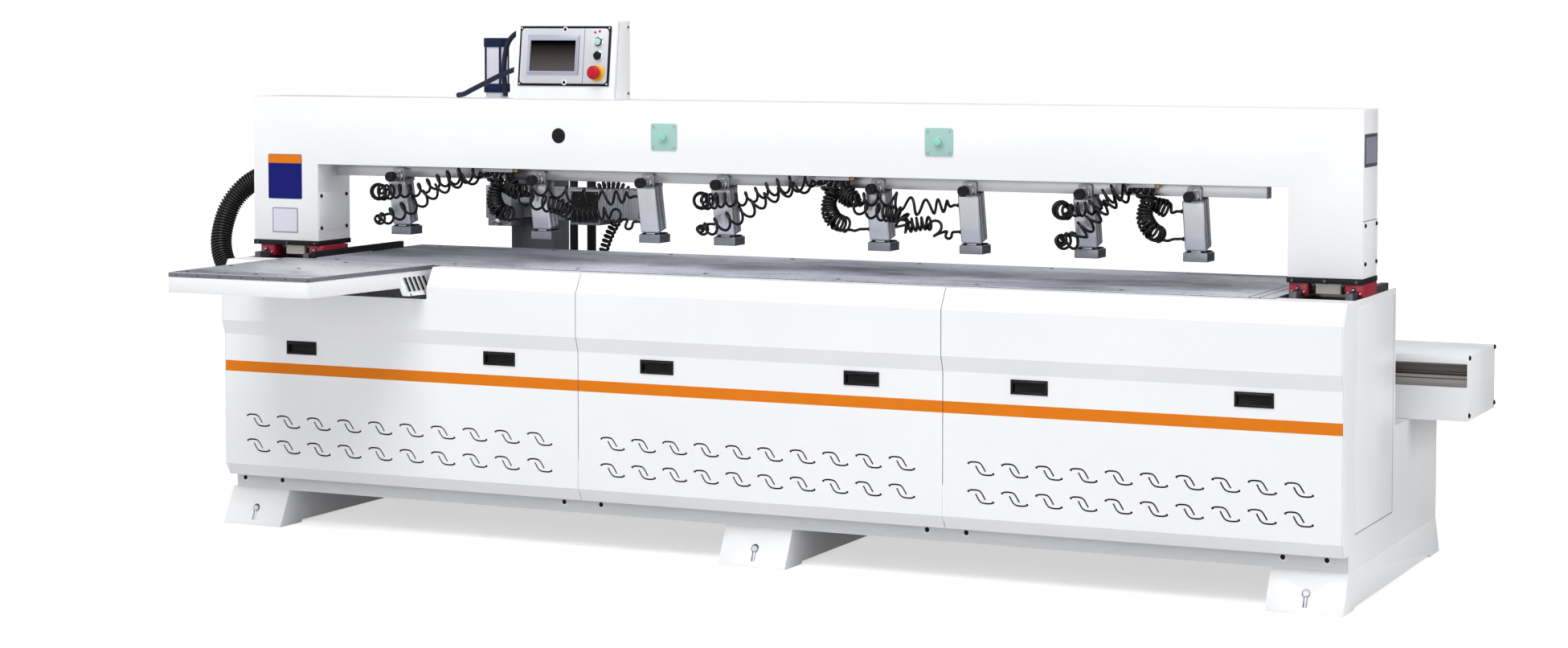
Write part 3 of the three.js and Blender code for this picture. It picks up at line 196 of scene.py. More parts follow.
def block(low, high, width=1, segments=2):  # a block with broken edges between two corners, in mm
    low, high = at(*low), at(*high)
    bpy.ops.mesh.primitive_cube_add(size=1, location=(low + high) / 2)
    obj = bpy.context.active_object
    obj.scale = high - low
    settled(obj, width, segments)
    return smoothed(obj) if width else obj


def rod(start, end, radius, sides=24, width=0.5, segments=2):
    start, end = at(*start), at(*end)
    bpy.ops.mesh.primitive_cylinder_add(vertices=sides, radius=radius * mm, depth=(end - start).length,
                                        location=(start + end) / 2)
    obj = bpy.context.active_object
    obj.rotation_euler = (end - start).to_track_quat("Z", "Y").to_euler()
    return smoothed(settled(obj, width, segments, 50))


def turned(profile, start, way, sides=32):  # (radius, height) points in mm, spun round a line
    way = Vector(way).normalized()
    out = way.orthogonal().normalized()
    foot = at(*start)
    mesh = bpy.data.meshes.new("turned")
    mesh.from_pydata([foot + out * r * mm + way * h * mm for r, h in profile],
                     [(i, i + 1) for i in range(len(profile) - 1)], [])
    obj = edited(linked("turned", mesh),
                 (bpy.ops.mesh.spin, {"steps": sides, "angle": 2 * math.pi, "center": foot, "axis": way}),
                 (bpy.ops.mesh.remove_doubles, {"threshold": 0.005 * mm}),
                 (bpy.ops.mesh.normals_make_consistent, {"inside": False}))
    return smoothed(obj, 32)


def pushed(outlines, push, width=0.0, segments=2):  # flat outlines of points in mm, extruded along a vector
    mesh = bpy.data.meshes.new("outline")
    points, faces = [], []
    for outline in outlines:
        faces.append(list(range(len(points), len(points) + len(outline))))
        points += [at(*p) for p in outline]
    mesh.from_pydata(points, [], faces)
    obj = edited(linked("outline", mesh),
                 (bpy.ops.mesh.extrude_region_move, {"TRANSFORM_OT_translate": {"value": Vector(push) * mm}}),
                 (bpy.ops.mesh.normals_make_consistent, {"inside": False}))
    return smoothed(bevelled(obj, width * mm, segments)) if width else obj


def carved(obj, cutter):  # cuts a shape out of a piece and removes the shape
    modified(obj, "BOOLEAN", operation="DIFFERENCE", solver="EXACT", object=cutter)
    bpy.data.objects.remove(cutter, do_unlink=True)
    return smoothed(obj, 32)


def roundedRect(x0, x1, z0, z1, radius, steps=6):
    points = []
    for cx, cz, start in ((x1 - radius, z0 + radius, -90), (x1 - radius, z1 - radius, 0),
                          (x0 + radius, z1 - radius, 90), (x0 + radius, z0 + radius, 180)):
        for k in range(steps + 1):
            angle = math.radians(start + 90 * k / steps)
            points.append((cx + radius * math.cos(angle), cz + radius * math.sin(angle)))
    return points


def frontPlate(rect, y, thick, radius, width=0.4):
    return pushed([[(x, y, z) for x, z in roundedRect(*rect, radius, 5)]], (0, -thick, 0), width)


def inset(rect, left, right=None, low=None, high=None):
    x0, x1, z0, z1 = rect
    right, low, high = (left if edge is None else edge for edge in (right, low, high))
    return x0 + left, x1 - right, z0 + low, z1 - high


def duplicated(obj, move=Matrix.Identity(4)):
    copy = linked(obj.name, obj.data.copy())
    copy.data.transform(move)
    return copy


def sideways(dx):
    return Matrix.Translation((dx * mm, 0, 0))


boltProfiles = {  # (radius, height) shares of a bolt's radius
    "dome": [(0, 0.22), (0.42, 0.22), (0.42, 0.62), (0.5, 0.66), (0.8, 0.5), (0.97, 0.2), (1, 0), (0, 0)],
    "cap": [(0, 0.5), (0.52, 0.5), (0.52, 0.95), (0.6, 1.0), (0.92, 1.0), (1, 0.92), (1, 0), (0, 0)],
    "flat": [(0, 0.1), (0.3, 0.1), (0.34, 0.22), (0.7, 0.2), (1, 0.05), (1, 0), (0, 0)],
}


def boltHead(kind, radius, place, way, sides, finish):
    return coated(turned([(r * radius, h * radius) for r, h in boltProfiles[kind]], place, way, sides), finish)


def bolts(name, places, way, radius, kind, finish, body, slot):  # one bolt, copied to every place
    first = boltHead(kind, radius, places[0], way, 16, finish)
    moves = [Vector(place) - Vector(places[0]) for place in places[1:]]
    return piece(name, [first] + [duplicated(first, Matrix.Translation(move * mm)) for move in moves], body, slot)


def softCopy(node, width=1 * mm, segments=2, angle=30):  # a CAD node with its edges broken, in its place
    copy = edited(linked(node + "_skin", nodes[node].data.copy()),
                  (bpy.ops.mesh.remove_doubles, {"threshold": 0.01 * mm}),
                  (bpy.ops.mesh.dissolve_limited, {"angle_limit": math.radians(0.5)}))
    if copy.data.attributes.get("custom_normal"):
        copy.data.attributes.remove(copy.data.attributes["custom_normal"])
    return smoothed(bevelled(copy, width, segments, angle), 32)


# Materials

def feed(tree, node, inputs):  # sets a node's inputs to values, or links them
    for key, value in inputs.items():
        if isinstance(value, bpy.types.NodeSocket):
            tree.links.new(value, node.inputs[key])
        else:
            node.inputs[key].default_value = value


def wired(tree, kind, inputs, **settings):
    node = tree.nodes.new("ShaderNode" + kind)
    for key, value in settings.items():
        setattr(node, key, value)
    feed(tree, node, inputs)
    return node.outputs


def newMaterial(name, colour, roughness, metallic=0.0, shine=0.5):
    mat = bpy.data.materials.new(name)
    mat.use_nodes = True
    shader = mat.node_tree.nodes["Principled BSDF"]
    feed(mat.node_tree, shader, {"Base Color": (*colour, 1), "Roughness": roughness, "Metallic": metallic,
                                 "Specular IOR Level": shine})
    return mat, mat.node_tree, shader


def objectNoise(tree, scale, stretch=(1, 1, 1), detail=4, rough=0.55):
    spot = wired(tree, "TexCoord", {})["Object"]
    place = wired(tree, "Mapping", {"Vector": spot, "Scale": stretch})["Vector"]
    return wired(tree, "TexNoise", {"Vector": place, "Scale": scale, "Detail": detail, "Roughness": rough})["Fac"]


def placeParts(tree, source="Object"):
    return wired(tree, "SeparateXYZ", {"Vector": wired(tree, "TexCoord", {})[source]})


def shareAlong(tree, axis, low, high, source="Object"):  # how far along an axis a point is, 0 to 1
    return wired(tree, "MapRange", {"Value": placeParts(tree, source)[axis], "From Min": low,
                                    "From Max": high})["Result"]


def ramp(tree, source, stops):  # stops are (place, colour or grey)
    node = tree.nodes.new("ShaderNodeValToRGB")
    while len(node.color_ramp.elements) < len(stops):
        node.color_ramp.elements.new(0.5)
    for element, (place, value) in zip(node.color_ramp.elements, stops):
        element.position = place
        element.color = (*value, 1) if hasattr(value, "__len__") else (value, value, value, 1)
    feed(tree, node, {"Fac": source})
    return node.outputs["Color"]


def mixed(tree, a, b, factor=1.0, kind="MULTIPLY"):
    return wired(tree, "Mix", {"Factor": factor, "A": a, "B": b}, data_type="RGBA", blend_type=kind)["Result"]


def bump(tree, source, strength, distance):
    return wired(tree, "Bump", {"Height": source, "Strength": strength, "Distance": distance})["Normal"]


def tones(tree, source, colour, low, high, places=(0.3, 0.7)):  # a ramp between two strengths of a colour
    ends = [tuple(min(1.0, c * factor) for c in colour) for factor in (low, high)]
    return ramp(tree, source, list(zip(places, ends)))


def paintFinish(name, colour, roughness=0.38, spread=0.035, peel=0.06, shine=0.5):  # powder coat: orange peel
    mat, tree, shader = newMaterial(name, colour, roughness, 0.0, shine)
    gloss = [(0.2, roughness - 0.06), (0.8, roughness + 0.07)]
    feed(tree, shader, {
        "Base Color": tones(tree, objectNoise(tree, 1.7, detail=3), colour, 1 - spread, 1 + spread / 3),
        "Normal": bump(tree, objectNoise(tree, 950, detail=2), peel, 0.3 * mm),
        "Roughness": ramp(tree, objectNoise(tree, 9, detail=3), gloss)})
    return mat


def metalFinish(name, colour, roughness=0.34, metallic=0.85, along=(1, 1, 1), spread=0.08, fine=420):
    mat, tree, shader = newMaterial(name, colour, roughness, metallic)
    lines = objectNoise(tree, fine, along, 3)
    feed(tree, shader, {"Base Color": tones(tree, lines, colour, 1 - spread, 1 + spread),
                        "Roughness": ramp(tree, lines, [(0.25, roughness - 0.07), (0.75, roughness + 0.09)]),
                        "Normal": bump(tree, lines, 0.08, 0.05 * mm)})
    return mat


def plasticFinish(name, colour, roughness=0.4, grain=700, strength=0.05, shine=0.5):
    mat, tree, shader = newMaterial(name, colour, roughness, 0.0, shine)
    feed(tree, shader, {"Normal": bump(tree, objectNoise(tree, grain, detail=2), strength, 0.1 * mm),
                        "Base Color": tones(tree, objectNoise(tree, 30, detail=2), colour, 0.93, 1.05)})
    return mat


# the plate's rise and fall in brightness along X is a painted reflection, laid over its stains, scratches and pits
def tableFinish(name, base, dark, pale):  # worn grey plate, paler to its right: stains, fine scratches and pits
    mat, tree, shader = newMaterial(name, base, 0.42, 0.25)
    stain = ramp(tree, objectNoise(tree, 2.2, (0.6, 1.6, 1), 6, 0.6), [(0.36, dark), (0.5, base), (0.66, pale)])
    scratch = ramp(tree, objectNoise(tree, 40, (0.25, 9, 1), 5, 0.7), [(0.46, 0.0), (0.56, 1.0)])
    pits = ramp(tree, objectNoise(tree, 55, (0.5, 1.2, 1), 2, 0.4), [(0.28, 0.16), (0.35, 1.0)])
    # painted reflection: the plate darker at its left end, palest a third of the way along, dimmer again towards
    # its right end
    paintedReflectionTone = ramp(tree, shareAlong(tree, "X", at(200, 0, 0).x, at(3200, 0, 0).x),
                [(0.0, 0.5), (0.3, 1.0), (0.6, 0.93), (1.0, 0.66)])
    worn = mixed(tree, mixed(tree, stain, scratch, 0.4, "OVERLAY"), pits, 0.8)
    feed(tree, shader, {"Base Color": mixed(tree, worn, paintedReflectionTone), "Normal": bump(tree, scratch, 0.12, 0.1 * mm),
                        "Roughness": ramp(tree, scratch, [(0.0, 0.36), (1.0, 0.5)])})
    return mat


bandOrange, panelWhite = (0.72, 0.19, 0.008), (0.86, 0.865, 0.875)
finishKinds = (
    (paintFinish, {  # name, colour, roughness, spread, peel, shine
        "white": ("white paint", panelWhite),
        "frameGrey": ("frame paint", (0.74, 0.75, 0.765)),
        "orange": ("orange band", bandOrange, 0.35, 0.02, 0.02, 0.1),
        "navyPlate": ("navy plate", (0.007, 0.01, 0.15), 0.35, 0.02, 0.02, 0.1),
        "palePlate": ("pale plate", (0.66, 0.67, 0.76), 0.35, 0.02, 0.02),
        "black": ("black paint", (0.012, 0.012, 0.014), 0.42, 0.1, 0.08, 0.15),
        "castDark": ("dark casting", (0.075, 0.082, 0.095), 0.45, 0.2, 0.14, 0.2),
        "crimson": ("crimson paint", (0.37, 0.008, 0.035), 0.34, 0.12, 0.08),
        "cream": ("cream casting", (0.95, 0.92, 0.84), 0.5, 0.04, 0.1),
        "navy": ("navy cap", (0.008, 0.014, 0.055), 0.38, 0.15, 0.05, 0.15),
        "plateTeal": ("button plate", (0.34, 0.56, 0.52), 0.4, 0.06, 0.04),
    }),
    (tableFinish, {  # name, base, dark, pale
        "table": ("table plate", (0.62, 0.64, 0.735), (0.27, 0.28, 0.345), (0.86, 0.88, 0.98)),
        "paleTable": ("extension plate", (0.9, 0.92, 1.0), (0.5, 0.51, 0.6), (1.0, 1.0, 1.0)),
    }),
    (metalFinish, {  # name, colour, roughness, metallic, stretch of the lines, spread, fineness
        "edgeSteel": ("plate edge", (0.15, 0.16, 0.19), 0.5, 0.1, (0.15, 1, 9), 0.3),
        "wornSteel": ("worn edge", (0.75, 0.76, 0.8), 0.3, 0.6, (2, 2, 2), 0.25, 60),
        "darkSteel": ("dark steel", (0.1, 0.1, 0.115), 0.38, 0.8, (0.2, 6, 1)),
        "railSteel": ("ground steel", (0.5, 0.5, 0.52), 0.26, 0.95, (0.1, 8, 8)),
        "chrome": ("chrome", (0.72, 0.73, 0.75), 0.12, 1.0, (1, 1, 1), 0.02),
        "alloy": ("clamp alloy", (0.6, 0.61, 0.65), 0.3, 0.85, (9, 9, 0.25)),
        "castAlloy": ("cast alloy", (0.36, 0.365, 0.39), 0.36, 0.85, (1, 1, 1), 0.12, 260),
        "footAlloy": ("foot alloy", (0.22, 0.23, 0.26), 0.34, 0.8, (1, 1, 1), 0.12, 260),
        "extrusion": ("rail extrusion", (0.5, 0.505, 0.525), 0.34, 0.85, (0.1, 9, 9)),
        "slideGrey": ("slide grey", (0.27, 0.28, 0.31), 0.4, 0.6, (1, 1, 1), 0.1, 240),
        "silver": ("panel silver", (0.6, 0.605, 0.66), 0.36, 0.55, (0.15, 6, 6), 0.03),
        "bezel": ("screen bezel", (0.42, 0.44, 0.54), 0.34, 0.5, (0.15, 6, 6), 0.03),
        "brass": ("brass", (0.62, 0.38, 0.14), 0.3, 0.95),
    }),
    (plasticFinish, {  # name, colour, roughness, grain, strength, shine
        "hose": ("hose", (0.006, 0.006, 0.007), 0.26, 500, 0.03, 0.2),
        # the conduit finish is paler than the hose finish and goes on the rib crests only, as a painted glint
        "conduit": ("conduit", (0.03, 0.03, 0.033), 0.18, 600, 0.04, 0.45),
        "cable": ("cable sheath", (0.012, 0.015, 0.035), 0.4, 700, 0.05, 0.2),
        "blackPlastic": ("black plastic", (0.007, 0.007, 0.008), 0.34, 700, 0.05, 0.16),
        "mint": ("mint cap", (0.22, 0.6, 0.47), 0.3),
        "paleMint": ("pale mint cap", (0.4, 0.62, 0.59), 0.3, 700, 0.05, 0.3),
        "red": ("stop cap", (0.46, 0.006, 0.022), 0.4, 700, 0.05, 0.2),
        "yellow": ("stop collar", (0.83, 0.42, 0.008), 0.36),
    }),
)
finishes = {key: make(*row) for make, rows in finishKinds for key, row in rows.items()}


def screenFinish():  # dark glass, a little paler towards its foot
    mat, tree, shader = newMaterial("screen glass", (0.05, 0.042, 0.038), 0.3, 0.0, 0.0)
    low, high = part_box("touch_screen")
    # the glass's paler foot is a painted reflection
    feed(tree, shader, {"Base Color": ramp(tree, shareAlong(tree, "Z", low.z, high.z),
                                           [(0.05, (0.1, 0.088, 0.084)), (0.8, (0.0, 0.0, 0.0))])})
    return mat


# the near-black band at 0.46 is the painted shade of the gap under the cover
bedBands = {"low": 0.517, "high": 0.581, "stops": [  # oiled way, dark gap, brown edge, bright foot
    (0.0, (0.8, 0.79, 0.78)), (0.29, (0.08, 0.035, 0.02)), (0.34, (0.36, 0.31, 0.27)),
    (0.46, (0.006, 0.005, 0.005)), (0.57, (0.13, 0.112, 0.1)), (0.9, (0.19, 0.17, 0.155))]}


def bedFinish(s):  # the bed's steel in bands by height
    mat, tree, shader = newMaterial("bed steel", (0.3, 0.28, 0.26), 0.4, 0.3)
    # constant colour bands by height, one of them painted gap shade
    bands = ramp(tree, shareAlong(tree, "Z", s["low"], s["high"]), s["stops"])
    bands.node.color_ramp.interpolation = "CONSTANT"
    streaks = ramp(tree, objectNoise(tree, 300, (0.05, 6, 6), 3), [(0.3, 0.78), (0.7, 1.0)])
    feed(tree, shader, {"Base Color": mixed(tree, bands, streaks)})
    return mat


finishes["glass"] = screenFinish()
finishes["bed"] = bedFinish(bedBands)
print("finishes mixed")


# Cords: routes as in the CAD model, in mm

def smoothRoute(points, count):  # centripetal spline through the points, sampled evenly along its length
    points = [Vector(p) for p in points]
    points = [2 * points[0] - points[1], *points, 2 * points[-1] - points[-2]]
    fine = []
    for a, b, c, d in zip(points, points[1:], points[2:], points[3:]):
        t1 = (b - a).length ** 0.5
        t2 = t1 + (c - b).length ** 0.5
        t3 = t2 + (d - c).length ** 0.5
        for k in range(24):
            t = t1 + (t2 - t1) * k / 24
            ab = a.lerp(b, t / t1)
            bc = b.lerp(c, (t - t1) / (t2 - t1))
            cd = c.lerp(d, (t - t2) / (t3 - t2))
            abc = ab.lerp(bc, t / t2)
            bcd = bc.lerp(cd, (t - t1) / (t3 - t1))
            fine.append(abc.lerp(bcd, (t - t1) / (t2 - t1)))
    fine.append(points[-2])
    return evenly(fine, count)


def evenly(fine, count):
    lengths = [0.0]
    for a, b in zip(fine, fine[1:]):
        lengths.append(lengths[-1] + (b - a).length)
    even, k = [], 0
    for i in range(count + 1):
        want = lengths[-1] * i / count
        while k < len(fine) - 2 and lengths[k + 1] < want:
            k += 1
        span = lengths[k + 1] - lengths[k]
        even.append(fine[k].lerp(fine[k + 1], (want - lengths[k]) / span if span else 0))
    return even


def headings(points):  # which way the line runs at each of its points
    last = len(points) - 1
    return [(points[min(i + 1, last)] - points[max(i - 1, 0)]).normalized() for i in range(last + 1)]


def tubeMesh(name, points, radii, sides):  # a closed tube whose rings turn as little as they can
    made = bmesh.new()
    ways = headings(points)
    side = Vector((0, 1, 0)).cross(ways[0])
    if side.length < 0.5:
        side = Vector((0, 0, 1)).cross(ways[0])
    rings = []
    for point, way, radius in zip(points, ways, radii):
        side = (side - way * side.dot(way)).normalized()
        up = way.cross(side)
        rings.append([made.verts.new(point + (side * math.cos(2 * math.pi * k / sides)
                      + up * math.sin(2 * math.pi * k / sides)) * radius) for k in range(sides)])
    for a, b in zip(rings, rings[1:]):
        for k in range(sides):
            made.faces.new((a[k], a[(k + 1) % sides], b[(k + 1) % sides], b[k]))
    made.faces.new(list(reversed(rings[0])))
    made.faces.new(rings[-1])
    bmesh.ops.recalc_face_normals(made, faces=made.faces)
    mesh = bpy.data.meshes.new(name)
    made.to_mesh(mesh)
    made.free()
    return smoothed(linked(name, mesh), 50)


def makeCord(name, path, s, finish, replaced=None, body=None, radii=None):
    cord = coated(tubeMesh(name, path, radii or [s["radius"] * mm] * len(path), s["sides"]), *finish)
    if body:
        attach(cord, body)
    if replaced:
        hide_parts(replaced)
    return cord


def curled(route, shape):  # a line wound round a route, whose size and turn go by the share of the way
    points = []
    for i, (middle, way) in enumerate(zip(route, headings(route))):
        side = Vector((0, 1, 0)).cross(way).normalized()
        up = way.cross(side)
        size, turn = shape(i / (len(route) - 1))
        points.append(middle + side * math.cos(turn) * size + up * math.sin(turn) * size)
    return points


hoseSettings = {"radius": 4, "curl": 20, "steps": 18, "sides": 8, "drop": 8, "pitch": 17, "top": 1078.7,
                "blockThick": 12, "blockFront": 202, "blockDepth": 26, "collar": 6.5, "portX": 42.3}
clampShape = {"tilt": 12, "topY": 247, "topZ": 1038, "long": 136, "portShares": (0.26, 0.82)}
clampPlaces = [467.5, 951.1, 1309.9, 1551.3, 2032.2, 2307.1, 2642.0, 2948.0]
hoseGroups = {"left": (830, (0, 1, 2)), "middle": (1910, (3, 4, 5)), "right": (2815, (6, 7))}
hoseKinds = {  # upper and lower hose: curls, and which share of them lies before each share of the way
    "back": ((14, [(0, 0), (0.2, 0.14), (0.7, 0.6), (0.82, 0.8), (1, 1)]),
             (12, [(0, 0), (0.2, 0.14), (0.78, 0.7), (0.9, 0.92), (1, 1)])),
    "near": ((10, [(0, 0), (0.5, 0.62), (0.76, 0.94), (1, 1)]),
             (15, [(0, 0), (0.2, 0.2), (0.62, 0.9), (0.72, 0.96), (1, 1)])),
    "far": ((17, [(0, 0), (0.12, 0.36), (0.24, 0.58), (0.84, 0.86), (1, 1)]),
            (22, [(0, 0), (0.12, 0.2), (0.36, 0.32), (0.74, 0.86), (1, 1)])),
}


def portSpot(clampIndex, port, s):
    down = s["long"] * s["portShares"][port]
    tilt = math.radians(s["tilt"])
    return Vector((clampPlaces[clampIndex] - hoseSettings["portX"], s["topY"] + down * math.sin(tilt),
                   s["topZ"] - down * math.cos(tilt)))


def hoseRoute(outlet, port, kind, low):
    start = outlet - Vector((0, 0, hoseSettings["drop"]))
    end = port - Vector((2 * hoseSettings["radius"], 0, 0))
    x, y, z = port
    a, b = start.x, end.x
    span, middle = a - x, (a + b) / 2
    routes = {
        ("back", False): [(x + span * 0.74, 206, 1052), (x + span * 0.52, 200, 1030), (x + span * 0.36, 198, 1008),
                          (x + span * 0.16, 194, 1003), (x + 26, 192, 999), (x + 2, 195, 999), (x - 16, 212, 1000),
                          (x - 22, 237, z - 1), (x - 17, 252, z)],
        ("back", True): [(x + span * 0.74, 208, 1040), (x + span * 0.48, 196, 1000), (x + span * 0.36, 194, 972),
                         (x + span * 0.22, 193, 946), (x + 34, 192, 926), (x + 4, 194, 918), (x - 18, 212, 918),
                         (x - 25, 244, z - 6), (x - 17, 266, z)],
        ("near", False): [(a - 4, 211, 1036), (b - 46, y - 26, z + 16), (b - 16, y - 3, z + 1)],
        ("near", True): [(a - 14, 204, 1022), (a - 16, 198, 986), (a + 2, 196, 956), (b - 42, y - 40, z + 12),
                         (b - 26, y - 16, z - 6), (b - 12, y - 2, z - 3)],
        ("far", False): [(a + 22, 203, 1018), (a + 72, 196, 1016), (a + 150, 198, 1020), (middle + 30, 202, 1006),
                         (b - 90, 222, z - 6), (b - 26, y - 4, z - 1)],
        ("far", True): [(a + 30, 200, 1002), (a + 90, 192, 985), (a + 170, 193, 972), (middle + 20, 196, 950),
                        (b - 130, 206, 946), (b - 62, 232, 952), (b - 50, 258, z + 2), (b - 30, y - 4, z - 16),
                        (b - 12, y - 1, z - 3)],
    }
    return [start, *routes[kind, low], end]


def shareOf(knots, share):
    for (a, low), (b, high) in zip(knots, knots[1:]):
        if share <= b:
            return low + (high - low) * (share - a) / (b - a)
    return knots[-1][1]


def curledPath(outlet, port, kind, low, phase):  # curls crowd and open out along the way, as the kind says
    curls, knots = hoseKinds[kind][low]
    tail = 3.4 if low or kind == "near" else 1.5  # curls over which the hose closes before its port

    def shape(share):
        opening = min(1, share * curls / 1.6) * min(1, (1 - share) * curls / tail)
        opening = opening * opening * (3 - 2 * opening)
        spread = sum(shareOf(knots, min(1, max(0, share + d / 60))) for d in (-2, -1, 0, 1, 2)) / 5
        turn = 2 * math.pi * curls * (spread if 0.04 < share < 0.96 else shareOf(knots, share)) + phase
        return hoseSettings["curl"] * opening * (1 + 0.14 * math.sin(9 * share + phase)), turn

    route = smoothRoute(hoseRoute(outlet, port, kind, low), int(curls * hoseSettings["steps"]))
    points = [outlet.copy(), *curled(route, shape), port.copy()]
    return [at(*p) for p in evenly(points, len(points) * 2)]


def makeHoses(s):
    for group, (middleX, clamps) in hoseGroups.items():
        node = "air_hoses_" + group
        left = middleX - s["pitch"] * len(clamps)
        right = left + s["pitch"] * len(clamps) * 2
        bottom, front, back = s["top"] - s["blockThick"], s["blockFront"], s["blockFront"] + s["blockDepth"]
        middleY = s["blockFront"] + s["blockDepth"] / 2
        plug = turned([(0, 9), (4, 9), (5, 8), (5, 4), (7, 4), (7, 0), (0, 0)], (right, middleY, s["top"] - 6),
                      toRight, 6)
        parts = [coated(block((left, front, bottom), (right, back, s["top"])), "castAlloy"), coated(plug, "brass")]
        for k, (clampIndex, kind) in enumerate(zip(clamps, hoseKinds)):
            for port, level in enumerate(("upper", "lower")):
                outlet = Vector((left + s["pitch"] * (k * 2 + port + 0.5), middleY, bottom - 0.3))
                end = portSpot(clampIndex, port, clampShape)
                path = curledPath(outlet, end, kind, port == 1, k * 1.1 + port * 2.3)
                hose = makeCord(f"air_hose_{clampIndex + 1}_{level}", path, s, ["hose"], node, None)
                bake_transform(hose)
                collar = rod((*outlet[:2], bottom - 9), (*outlet[:2], bottom + 1), s["collar"], 16)
                parts.append(coated(collar, "blackPlastic"))
        piece("outlet_block_" + group, parts, "beam", "clamp_alloy", node)


conduitSettings = {"radius": 33, "valley": 27.5, "ribs": 100, "sides": 28, "rib": (0.0, 0.8, 1.0, 1.0, 0.8, 0.0)}
conduitRoute = [(60, 351.3, 1052), (60, 417.3, 1052), (10, 458, 1052), (-70, 470, 1050), (-160, 464, 1030),
                (-232, 446, 990), (-272, 420, 934), (-284, 394, 870), (-278, 372, 810), (-248, 354, 752),
                (-186, 342, 716), (-120, 336, 702), (-68.3, 335, 700), (-2.3, 335, 700)]


def makeConduit(s):  # ribbed hose: each rib rises and falls in a few rings
    whole = [Vector(conduitRoute[0]), *smoothRoute(conduitRoute[1:-1], 200), Vector(conduitRoute[-1])]
    rib = s["rib"]
    path = [at(*p) for p in evenly(whole, s["ribs"] * len(rib))]
    radii = [(s["valley"] + (s["radius"] - s["valley"]) * rib[i % len(rib)]) * mm for i in range(len(path))]
    tube = makeCord("conduit", path, s, ["hose", "conduit"], "cable_conduit", radii=radii)
    # the crest ring's paler finish is a painted glint along each rib
    for face in tube.data.polygons:  # the crests shine more than the valleys
        face.material_index = int(face.index // s["sides"] % len(rib) == 2)
    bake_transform(tube)


boxCableSettings = {"radius": 7.6, "sides": 16}
boxCables = {
    "upper": [(893, 250, 1478), (870, 250, 1474), (842, 252, 1450), (826, 256, 1405), (819, 262, 1350),
              (818, 270, 1312), (815, 276, 1290)],
    "lower": [(893, 230, 1373), (868, 231, 1366), (820, 234, 1349), (765, 240, 1326), (715, 246, 1305),
              (688, 252, 1294), (662, 260, 1290)],
}
glandProfile = [(0, 16), (7.6, 16), (8.2, 14), (10.5, 13), (10.5, 6), (9, 5), (12, 5), (12, 0), (0, 0)]


def makeBoxCables():
    for name, points in boxCables.items():
        path = [at(*p) for p in smoothRoute(points, 60)]
        makeCord(f"box_cable_{name}", path, boxCableSettings, ["cable"], "control_box", "beam")
        x, y, z = points[0]
        gland = coated(turned(glandProfile, (x + 2, y, z), (-1, 0, 0), 12), "blackPlastic")
        piece(f"cable_gland_{name}", [gland], "beam", "black_plastic")


makeHoses(hoseSettings)
makeConduit(conduitSettings)
makeBoxCables()
print("cords laid")

# Stage and light
stageSettings = {"floor": 60, "floorColour": 0.85, "bounce": 0.66, "ambient": 0.57, "glow": 0.58,
                 "mirror": [(0.0, 1.0), (0.4, 0.8), (0.62, 0.18), (1.0, 0.1)]}  # from in front to behind


def lightStage(s):
    bpy.ops.mesh.primitive_plane_add(size=s["floor"], location=(0, 0, -0.0005))
    floor = bpy.context.active_object
    floor.name = "floor"
    finishes["floor"], tree, shader = newMaterial("floor", (s["floorColour"],) * 3, 0.9, 0.0, 0.1)
    path = wired(tree, "LightPath", {})
    glow = wired(tree, "Emission", {"Strength": s["glow"]})[0]
    added = wired(tree, "AddShader", {0: shader.outputs[0], 1: glow})[0]
    duller = wired(tree, "BsdfDiffuse", {"Color": (*(s["bounce"],) * 3, 1)})[0]
    seen = wired(tree, "MixShader", {0: path["Is Camera Ray"], 1: duller, 2: added})[0]
    mirrored = wired(tree, "Emission", {"Color": ramp(tree, shareAlong(tree, "Y", -5, 5), s["mirror"])})[0]
    whole = wired(tree, "MixShader", {0: path["Is Glossy Ray"], 1: seen, 2: mirrored})[0]
    feed(tree, tree.nodes["Material Output"], {"Surface": whole})
    coated(floor, "floor")
    world = bpy.data.worlds.new("studio")
    bpy.context.scene.world = world
    world.use_nodes = True
    tree = world.node_tree
    dim = tree.nodes["Background"]
    feed(tree, dim, {"Color": (0.97, 0.98, 1, 1), "Strength": s["ambient"]})
    bright = wired(tree, "Background", {"Color": (1, 1, 1, 1)})[0]
    mirrored = wired(tree, "Background", {
        "Color": ramp(tree, shareAlong(tree, "Y", -1, 1, "Generated"), s["mirror"])})[0]
    path = wired(tree, "LightPath", {})
    shining = wired(tree, "MixShader", {0: path["Is Glossy Ray"], 1: dim.outputs[0], 2: mirrored})[0]
    through = wired(tree, "Math", {0: path["Is Camera Ray"], 1: path["Is Transmission Ray"]},
                    operation="MAXIMUM")[0]
    whole = wired(tree, "MixShader", {0: through, 1: shining, 2: bright})[0]
    feed(tree, tree.nodes["World Output"], {"Surface": whole})


lamps = {
    "key": {"place": (1300, -3700, 7000), "aim": (1700, 200, 700), "size": 4.5, "power": 375},
    "fill": {"place": (3200, -8500, 2600), "aim": (1800, 0, 350), "size": 4.0, "power": 80},
    "left": {"place": (-5200, -2500, 2800), "aim": (1000, 300, 700), "size": 3.5, "power": 30},
    "right": {"place": (8800, 300, 2600), "aim": (3400, 300, 500), "size": 3.5, "power": 130},
    "back": {"place": (2500, 5500, 4200), "aim": (1700, 500, 700), "size": 4.0, "power": 30},
}


def addLamps():
    for name, s in lamps.items():
        data = bpy.data.lights.new(name, "AREA")
        data.size = s["size"]
        data.energy = s["power"]
        lamp = linked(name, data)
        lamp.location = at(*s["place"])
        lamp.rotation_euler = (at(*s["aim"]) - at(*s["place"])).to_track_quat("-Z", "Y").to_euler()


lightStage(stageSettings)
addLamps()
bpy.context.scene.view_settings.view_transform = "Standard"
print("stage lit")

